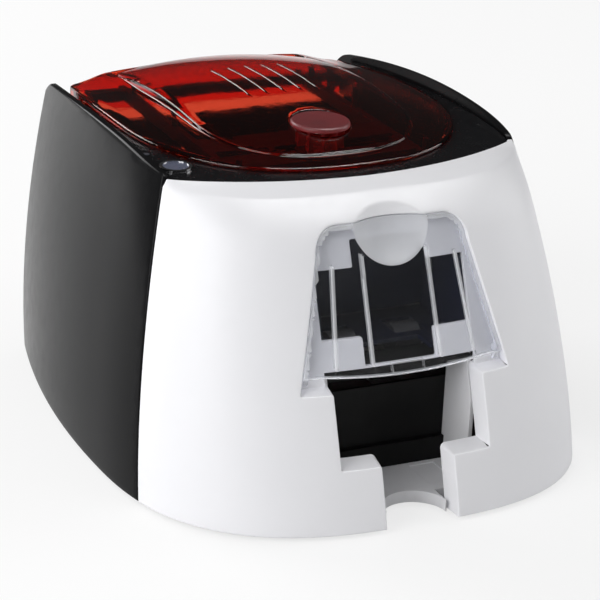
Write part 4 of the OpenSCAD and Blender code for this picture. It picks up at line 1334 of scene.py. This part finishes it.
@dataclass
class Lid:
    """The see-through lid and its push button."""

    form: LidForm = field(default_factory=LidForm)
    latch_y: float = -11.5
    latch_r: float = 17.2
    latch_top: float = 189.5
    stem_r: float = 5.98
    stem_low: float = 149.5
    dip: tuple[Pair, ...] = ((0.02, 0.9), (4, 0.87), (8, 0.72), (12, 0.4), (14.5, 0.12))
    pad_soft: float = 1.6
    legs: int = 10
    leg_reach: Pair = (9.0, 14.0)
    leg_half: float = 0.7
    leg_low: float = 174.0
    window_soft: float = 1.1
    inner_low: float = 140.0

    def raised(self, spots: Array, z: Array) -> Array:
        """Put heights to spots."""
        return np.concatenate([spots, z[:, None]], axis=1)

    def outer_rings(self) -> list[Array]:
        """Work out the rings from the window's edge over the shelf and the rim to the lower edge.

        Returns:
            The rings' points, the same number in each.
        """
        form = self.form
        edge, rim = WINDOW_EDGE.outline(0), LID_EDGE.outline(0)
        top, low = form.window_z(edge), form.shelf_z(WINDOW_EDGE.outline(1.0))
        soft = np.minimum(self.window_soft, 0.42 * np.maximum(top - low, 0.4))
        rings = [self.raised(WINDOW_EDGE.outline(-back * self.window_soft), top - soft * down)
                 for back, down in rounding(6)]
        shelf = [(WINDOW_EDGE.outline(out + 0.25), soft * up) for up, out in rounding(6)]
        foot, near_rim = WINDOW_EDGE.outline(1.25), LID_EDGE.outline(-1.0)
        shelf += [(foot + (near_rim - foot) * v, 0.0) for v in np.linspace(0, 1, 12)[1:-1]]
        shelf += [(LID_EDGE.outline(-back), -down) for back, down in rounding(6)]
        rings += [self.raised(spots, form.shelf_z(spots) + lift) for spots, lift in shelf]
        lower, start = form.rim_z(rim), form.shelf_z(rim) - 1.0
        rings += [self.raised(rim, start + (lower + 0.3 - start) * v) for v in (0.5, 0.9)]
        return [*rings, self.raised(LID_EDGE.outline(-0.3), lower)]

    def inner_rings(self) -> list[Array]:
        """Work out the rings from the lower edge back under the shelf to the window's underside.

        Returns:
            The rings' points, the same number in each.
        """
        form, wall = self.form, self.form.wall
        rim = LID_EDGE.outline(-wall)
        lower = form.rim_z(rim)
        roof = np.maximum(form.shelf_z(rim) - wall - 0.4, lower + 0.35)
        rings = [self.raised(LID_EDGE.outline(-wall + 0.3), lower), self.raised(rim, lower + 0.3),
                 self.raised(rim, roof)]
        foot, near = WINDOW_EDGE.outline(-0.6), LID_EDGE.outline(-wall - 0.8)
        for v in np.linspace(0, 1, 7):
            spots = near + (foot - near) * v
            rings.append(self.raised(spots, np.maximum(form.shelf_z(spots) - wall, self.inner_low)))
        spots = WINDOW_EDGE.outline(-1.8)
        return [*rings, self.raised(spots, form.window_z(spots) - wall)]

    def build_glass(self) -> None:
        """Build the lid."""
        form = self.form
        shell = Shell()
        numbers = shell.loft(self.outer_rings() + self.inner_rings())
        hole = turned(circle(0, self.latch_y, self.latch_r + 0.4, 96), False)
        steps = Rim(hole, 0.6, form.wall).steps(form.wall)[:6]
        rings = shell.loft([self.raised(spots, form.window_z(spots) - depth) for spots, depth in steps])
        offs = (-1.1, -0.75, -0.6, -0.3, 0, 0.3, 0.6, 0.75, 1.1)
        columns = [middle + off for middle in form.ridges for off in offs]
        fine = crossed(columns, np.arange(34, 96, 1.5))
        plain = thinned(grid((-66, -48), (66, 152), 3.2), fine, 1.2)
        faces = ((0, -1.1, np.concatenate([plain, fine]), form.ridged_z),
                 (-1, -1.8, plain[::2], lambda spots: form.window_z(spots) - form.wall))
        for end, grow, inner, height in faces:
            outline = WINDOW_EDGE.outline(grow)
            left = turned(outline, True)
            edge = numbers[end] if left is outline else numbers[end][::-1]
            shell.fill([left, steps[end][0]], [edge, rings[end]], inner,
                       lambda spots, height=height: self.raised(spots, height(spots)), 1.0)
        add_piece("lid_glass", shell, "red_clear", Body.LID, "lid_shell")

    def build_button(self) -> None:
        """Build the push button with its stem and legs."""
        shell = Shell()
        r, top = self.latch_r, self.latch_top
        soft = [(r - self.pad_soft * back, self.pad_soft * down) for back, down in rounding(7)]
        profile = [(x, top - z) for x, z in [*self.dip, *soft]]
        stem, low = self.stem_r, self.stem_low
        profile += [(r, top - 2.6), (r - 0.4, top - 3), (stem + 0.8, top - 3), (stem, top - 3.8),
                    (stem, low + 0.4), (stem - 0.4, low), (0.02, low)]
        shell.tube([rows(*circle(0, self.latch_y, x, 96).T, z) for x, z in profile])
        for i in range(self.legs):
            self.add_leg(shell, i * math.pi / (self.legs / 2))
        add_piece("latch_pad", shell, "red_frost", Body.LATCH, "latch_button")

    def add_leg(self, shell: Shell, turn: float) -> None:
        """Add one of the ribs that hang under the button.

        Args:
            shell: the mesh that it is added to.
            turn: its angle about the button's axis.
        """
        (near, far), half = self.leg_reach, self.leg_half
        spin = np.array([[math.cos(turn), -math.sin(turn)], [math.sin(turn), math.cos(turn)]])
        flat = np.array([[near, -half], [far, -half], [far, half], [near, half]]) @ spin.T + [0, self.latch_y]
        shell.tube([rows(*flat.T, z) for z in (self.leg_low, self.latch_top - 2.9)])

    def build(self) -> None:
        """Build the lid and the button."""
        self.build_glass()
        self.build_button()


@dataclass(frozen=True)
class Springs:
    """Equal coil springs in the lid."""

    node: str
    joint: str
    spots: tuple[Pair, ...]
    radius: float
    wire: float
    low: float
    high: float
    turns: int
    fixed_end: float
    travel: float
    turn_steps: int = 28
    wire_steps: int = 10

    def path(self) -> tuple[Array, Array]:
        """Run the middle of the wire up a coil, with an end turn wound close at either end.

        Returns:
            The turn about the coil's axis and the height at each step.
        """
        close = 2.1 * self.wire
        rise = self.high - self.low - 2 * self.wire
        turn = np.linspace(0, self.turns, self.turns * self.turn_steps + 1)
        height = np.interp(turn, [0, 1, self.turns - 1, self.turns], [0, close, rise - close, rise])
        return turn * 2 * math.pi, self.low + self.wire + height

    def coil(self, shell: Shell, spot: Pair) -> None:
        """Add one coil at a spot in the plane.

        Args:
            shell: the mesh that it is added to.
            spot: where the coil's axis stands.
        """
        around = np.linspace(0, 2 * math.pi, self.wire_steps, endpoint=False)
        out = self.radius + self.wire * np.cos(around)
        up = self.wire * np.sin(around)
        shell.tube([rows(spot[0] + out * math.cos(turn), spot[1] + out * math.sin(turn), height + up)
                    for turn, height in zip(*self.path())])

    def build(self) -> None:
        """Build the coils as one piece."""
        shell = Shell()
        for spot in self.spots:
            self.coil(shell, spot)
        piece = add_piece(f"{self.node}_coils", shell, "spring_steel", Body.LID, self.node)
        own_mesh(piece)


LATCH_SPRING = Springs("latch_spring", "latch_press_travel", ((0.0, -11.5),), radius=7.4, wire=0.7,
                       low=170.0, high=186.5, turns=6, fixed_end=170.0, travel=3.0)
HEAD_SPRINGS = Springs("head_springs", "print_head_lift", ((-26.0, 18.0), (26.0, 18.0)), radius=3.6, wire=0.6,
                       low=103.0, high=110.0, turns=5, fixed_end=110.0, travel=2.5)


@dataclass
class FeederCover:
    """The clear feeder cover with its ribs, its finger dish and its hinge lugs."""

    dish: Dish = field(default_factory=Dish)
    pocket: Pocket = field(default_factory=Pocket)
    lean: float = math.radians(22.3)
    low_y: float = -133.4
    bend_r: float = 420.0
    wall: float = 2.5
    rim_depth: float = 5.5
    ribs: tuple[Triple, ...] = ((38.0, 42.5, 139.5), (20.2, 20.8, 143.5))
    rib_top: float = 138.0
    rib_half: float = 1.05
    rib_rise: float = 0.8
    dish_wall: float = 0.72
    tab_z: float = 88.0
    tab_half: float = 9.8
    tab_rise: float = 0.3
    tab_ease: Pair = (10.0, 9.6)
    tab_top_ease: Pair = (88.2, 87.8)
    low_bow: float = 2.2
    pivot: Pair = (-122.0, 82.0)
    lug_x: Pair = (58.0, 60.6)
    lug_r: float = 4.0
    lug_toe: tuple[Pair, Pair] = ((-125.4, 90.5), (-127.2, 86.2))
    bowl_span: Pair = (12.0, 46.0)

    def plain_y(self, x: Array, z: Array, depth: Array) -> Array:
        """Depth of the bent sheet, or of a surface behind it.

        Args:
            x: place across the cover.
            z: height.
            depth: how far behind the face.

        Returns:
            The depth of each spot.
        """
        bow = self.bend_r - np.sqrt((self.bend_r - depth) ** 2 - x * x)
        sine, cosine = math.sin(self.lean), math.cos(self.lean)
        height = (z - self.pocket.low_z + bow * sine) / cosine
        return self.low_y + bow * cosine + height * sine

    def rib_x(self, high: float, low: float, z: Values) -> Values:
        """Distance of a rib's middle line from the cover's middle at height z."""
        return low + (high - low) * ((z - self.tab_z) / (self.rib_top - self.tab_z))

    def rib_off(self, x: Array, z: Array) -> Array:
        """Distance from the nearest rib's middle line, or from its top end."""
        return np.min([np.hypot(np.abs(x) - self.rib_x(high, low, z), np.maximum(z - top, 0))
                       for high, low, top in self.ribs], axis=0)

    def place(self, spots: Array, depth: Array) -> Array:
        """Lay a spot of the front view at a depth behind the cover's face.

        Args:
            spots: spots of the front view.
            depth: how far behind the face each spot lies.

        Returns:
            One point in space per spot.
        """
        x, z = spots.T
        y = self.plain_y(x, z, depth)
        shallow = np.clip(depth, 0, self.wall)
        y = smooth_max(y, self.dish.depth_y(x, z) + shallow * self.dish_wall, 0.4)
        swell = np.sqrt(np.clip(1 - (self.rib_off(x, z) / self.rib_half) ** 2, 0, 1))
        tab = self.tab_rise * smooth_step(*self.tab_ease, np.abs(x)) * smooth_step(*self.tab_top_ease, z)
        y -= (self.rib_rise * swell + tab) * (depth < 0.01)
        return rows(x, y, z)

    def in_dish(self, spots: Array) -> Array:
        """Share of the finger dish at each spot."""
        x, z = spots.T
        return smooth_step(-0.5, 0.5, self.dish.depth_y(x, z) - self.plain_y(x, z, np.zeros(len(x))))

    def is_rib(self, points: Array) -> Array:
        """Whether points lie on a rib or on the raised edge of the pull tab.

        Args:
            points: points in space.

        Returns:
            One truth value per point.
        """
        x, _, z = points.T
        rib = (self.rib_off(x, z) < self.rib_half) & (z > self.tab_z - 0.5)
        side = (np.abs(np.abs(x) - self.tab_half) < 0.25) & (z < self.tab_top_ease[0])
        return rib | side | ((np.abs(x) < self.tab_ease[0]) & (np.abs(z - self.tab_z) < 0.25))

    def rib_points(self) -> Array:
        """Points close together along the ribs."""
        offs = (-1.5, -1.05, -0.8, -0.4, 0, 0.4, 0.8, 1.05, 1.5)
        return np.array([(side * (self.rib_x(high, low, z) + off), z)
                         for z in np.arange(86, 146, 2.0) for high, low, top in self.ribs if z <= top + 1.5
                         for off in offs for side in (1, -1)])

    def bowl_edge(self) -> Array:
        """Points along both sides of the finger dish's edge.

        Returns:
            The points in the front view.
        """
        turn = np.radians(np.arange(-160, -19, 1.5))
        way = rows(np.cos(turn), np.sin(turn))
        centre = np.array([0.0, self.dish.z])
        near, far = (np.full(len(turn), end) for end in self.bowl_span)
        for _ in range(24):
            middle = (near + far) / 2
            deep = self.in_dish(centre + way * middle[:, None]) > 0.5
            near, far = np.where(deep, middle, near), np.where(deep, far, middle)
        return np.concatenate([centre + way * (near + off)[:, None] for off in (-1.2, -0.5, 0.0, 0.5, 1.2)])

    def add_lug(self, shell: Shell, side: float) -> None:
        """Add one of the two hinge lugs.

        Args:
            shell: the mesh that it is added to.
            side: -1 for the left one and 1 for the right one.
        """
        y0, z0 = self.pivot
        turn = np.linspace(math.radians(-170), math.radians(60), 24)
        round_part = rows(y0 + self.lug_r * np.cos(turn), z0 + self.lug_r * np.sin(turn))
        outline = np.concatenate([round_part, self.lug_toe])
        shell.tube([rows(side * x, *outline.T) for x in self.lug_x])

    def build(self) -> None:
        """Build the cover."""
        path = self.pocket.path(self.pocket.low_z, 0.0)
        loop = spaced_loop(path, 1.6, True)
        rolled = (1 - self.in_dish(loop)) * (loop[:, 1] > self.pocket.low_z + 0.1)
        lower = loop[:, 1] < self.pocket.low_z + 0.1
        loop[lower, 1] -= self.low_bow * np.clip(1 - (loop[lower, 0] / 50) ** 2, 0, 1)
        sink = self.wall + (self.rim_depth - self.wall) * rolled
        rim = Rim(loop, 0.6, sink, 0.0, 0.5 + 1.5 * rolled)
        fine = self.rib_points()
        edge = self.bowl_edge()
        bowl = np.concatenate([thinned(grid((-25, 133), (25, 160), 1.0), edge, 0.7), edge])
        tab = np.concatenate([grid((-10.6, 84.5), (-9, 89), 0.4), grid((9, 84.5), (10.6, 89), 0.4),
                              grid((-9, 87.4), (9, 88.6), 0.4)])
        fine = np.concatenate([thinned(fine, bowl, 0.9), bowl, tab])
        plain = thinned(grid((-62, 85), (62, 160), 2.2), fine, 1.0)
        shell = plate([rim], np.concatenate([plain, fine]), self.place, self.wall, 0.5, 1)
        for side in (-1.0, 1.0):
            self.add_lug(shell, side)
        piece = add_piece("feeder_glass", shell, "clear_plastic", Body.FEEDER, "feeder_cover")
        # The rim band, the ribs and the tab edge take the whiter frost, a painted highlight along them.
        border = inset(loop, 0.9 + 1.4 * rolled)
        refinish(piece, COVER_EDGE_PAINTED_HIGHLIGHT, lambda at: ~inside(at[:, [0, 2]], [border]) | self.is_rib(at))
        refinish(piece, COVER_FROST, lambda at: self.in_dish(at[:, [0, 2]]) > 0.5)


@dataclass
class Mechanism:
    """Everything that keeps its shape from the frame and gets a finish."""

    own_finish: dict[str, Finish] = field(default_factory=lambda: {"feeder_hopper": HOPPER_NAVY})

    def dress(self) -> None:
        """Give each node of the frame the finish of its material slot."""
        for part in frame["record"]["subparts"]:
            node = part["node"]
            finish = self.own_finish.get(node, SLOT_FINISHES[part["material_slot"]])
            piece = frame["nodes"][node]
            piece.data.materials.clear()
            piece.data.materials.append(finish.build())
            LOG.info("%s: %s", node, finish.name)


@dataclass
class Studio:
    """The camera, the lamps, the floor and the surroundings."""

    eye: Vector = field(default_factory=lambda: Vector((-0.6965, -1.3772, 0.69135)))
    azimuth: float = math.radians(26.71)
    elevation: float = math.radians(21.80)
    roll: float = math.radians(2.73)
    focal_px: float = 2824.0
    frame_px: float = 600.0
    centre_px: float = 297.2
    sensor_mm: float = 36.0
    floor_size: float = 12.0
    floor_colour: Triple = (0.86, 0.86, 0.86)
    floor_glow: float = 0.72
    soft_light: float = 0.40
    mirrored_light: float = 0.03
    middle: Triple = (0.0, 0.0, 0.09)
    lamps: tuple[tuple[str, Triple, float, float], ...] = (
        ("key", (-1.5, -0.5, 0.9), 1.2, 20.0),
        ("fill", (1.9, -0.3, 0.8), 1.4, 15.0),
        ("back", (-0.95, 1.75, 1.0), 1.2, 28.0),
        ("overhead", (0.40, -0.20, 1.5), 1.1, 29.0),
    )
    only_mirrored: str = "overhead"

    def build_camera(self) -> None:
        """Place the camera."""
        data = bpy.data.cameras.new("camera")
        data.sensor_width = self.sensor_mm
        data.lens = self.focal_px * self.sensor_mm / self.frame_px
        data.shift_x = (self.frame_px / 2 - self.centre_px) / self.frame_px
        ahead = Vector((
            math.sin(self.azimuth) * math.cos(self.elevation),
            math.cos(self.azimuth) * math.cos(self.elevation),
            -math.sin(self.elevation),
        ))
        level = Vector((math.cos(self.azimuth), -math.sin(self.azimuth), 0))
        above = level.cross(ahead)
        right = level * math.cos(self.roll) + above * math.sin(self.roll)
        up = above * math.cos(self.roll) - level * math.sin(self.roll)
        camera = bpy.data.objects.new("camera", data)
        camera.matrix_world = Matrix.Translation(self.eye) @ Matrix((right, up, -ahead)).transposed().to_4x4()
        bpy.context.scene.collection.objects.link(camera)
        bpy.context.scene.camera = camera

    def add_lamp(self, name: str, place: Triple, size: float, power: float) -> None:
        """Hang a square soft lamp that faces the printer; one lamp is only mirrored in glossy surfaces.

        Args:
            name: the lamp's name.
            place: where it hangs.
            size: the length of its sides.
            power: its power in watts.
        """
        data = bpy.data.lights.new(name, "AREA")
        data.size = size
        data.energy = power
        lamp = bpy.data.objects.new(name, data)
        lamp.location = place
        lamp.visible_diffuse = name != self.only_mirrored
        lamp.visible_transmission = False
        lamp.rotation_euler = (Vector(place) - Vector(self.middle)).to_track_quat("Z", "Y").to_euler()
        bpy.context.scene.collection.objects.link(lamp)

    def build_floor(self) -> None:
        """Lay a pale floor that looks white to the camera and still takes the shadow."""
        half = self.floor_size / 2
        spots = [(x * half, y * half, 0) for x, y in ((-1, -1), (1, -1), (1, 1), (-1, 1))]
        mesh = bpy.data.meshes.new("floor")
        mesh.from_pydata(spots, [], [(0, 1, 2, 3)])
        floor = bpy.data.objects.new("floor", mesh)
        bpy.context.scene.collection.objects.link(floor)
        material = bpy.data.materials.new("floor")
        nodes = NodeTree(material)
        seen = nodes.math("MULTIPLY", nodes.add("LightPath").outputs["Is Camera Ray"], self.floor_glow)
        matte = nodes.add("BsdfDiffuse", Color=rgba(self.floor_colour))
        glow = nodes.add("Emission", Strength=1.0)
        nodes.add("OutputMaterial", Surface=nodes.mix(seen, matte, glow).outputs[0])
        mesh.materials.append(material)

    def build_world(self) -> None:
        """Surround the scene with soft white light."""
        world = bpy.data.worlds.new("studio")
        bpy.context.scene.world = world
        world.cycles.sampling_method = "NONE"
        nodes = NodeTree(world)
        rays = nodes.add("LightPath").outputs
        soft, mirrored, seen = (nodes.add("Background", Color=rgba((1, 1, 1)), Strength=strength)
                                for strength in (self.soft_light, self.mirrored_light, 1.0))
        direct = nodes.math("MAXIMUM", rays["Is Camera Ray"], rays["Is Transmission Ray"])
        bounces = nodes.math("ADD", rays["Diffuse Depth"], rays["Glossy Depth"])
        unbounced = nodes.math("SUBTRACT", direct, bounces, use_clamp=True)
        light = nodes.mix(rays["Is Glossy Ray"], soft, mirrored)
        nodes.add("OutputWorld", Surface=nodes.mix(unbounced, light, seen).outputs[0])

    def build(self) -> None:
        """Build the whole studio."""
        self.build_camera()
        for lamp in self.lamps:
            self.add_lamp(*lamp)
        self.build_floor()
        self.build_world()
        bpy.context.scene.view_settings.view_transform = "Standard"


def main() -> None:
    """Build every part of the scene in order."""
    logging.basicConfig(level=logging.INFO, format="%(message)s")
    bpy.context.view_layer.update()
    Mechanism().dress()
    FrontCover().build()
    SidePanel("left", -1.0).build()
    SidePanel("right", 1.0).build()
    Deck().build()
    Lid().build()
    LATCH_SPRING.build()
    HEAD_SPRINGS.build()
    FeederCover().build()
    Studio().build()


if __name__ == "__main__":
    main()
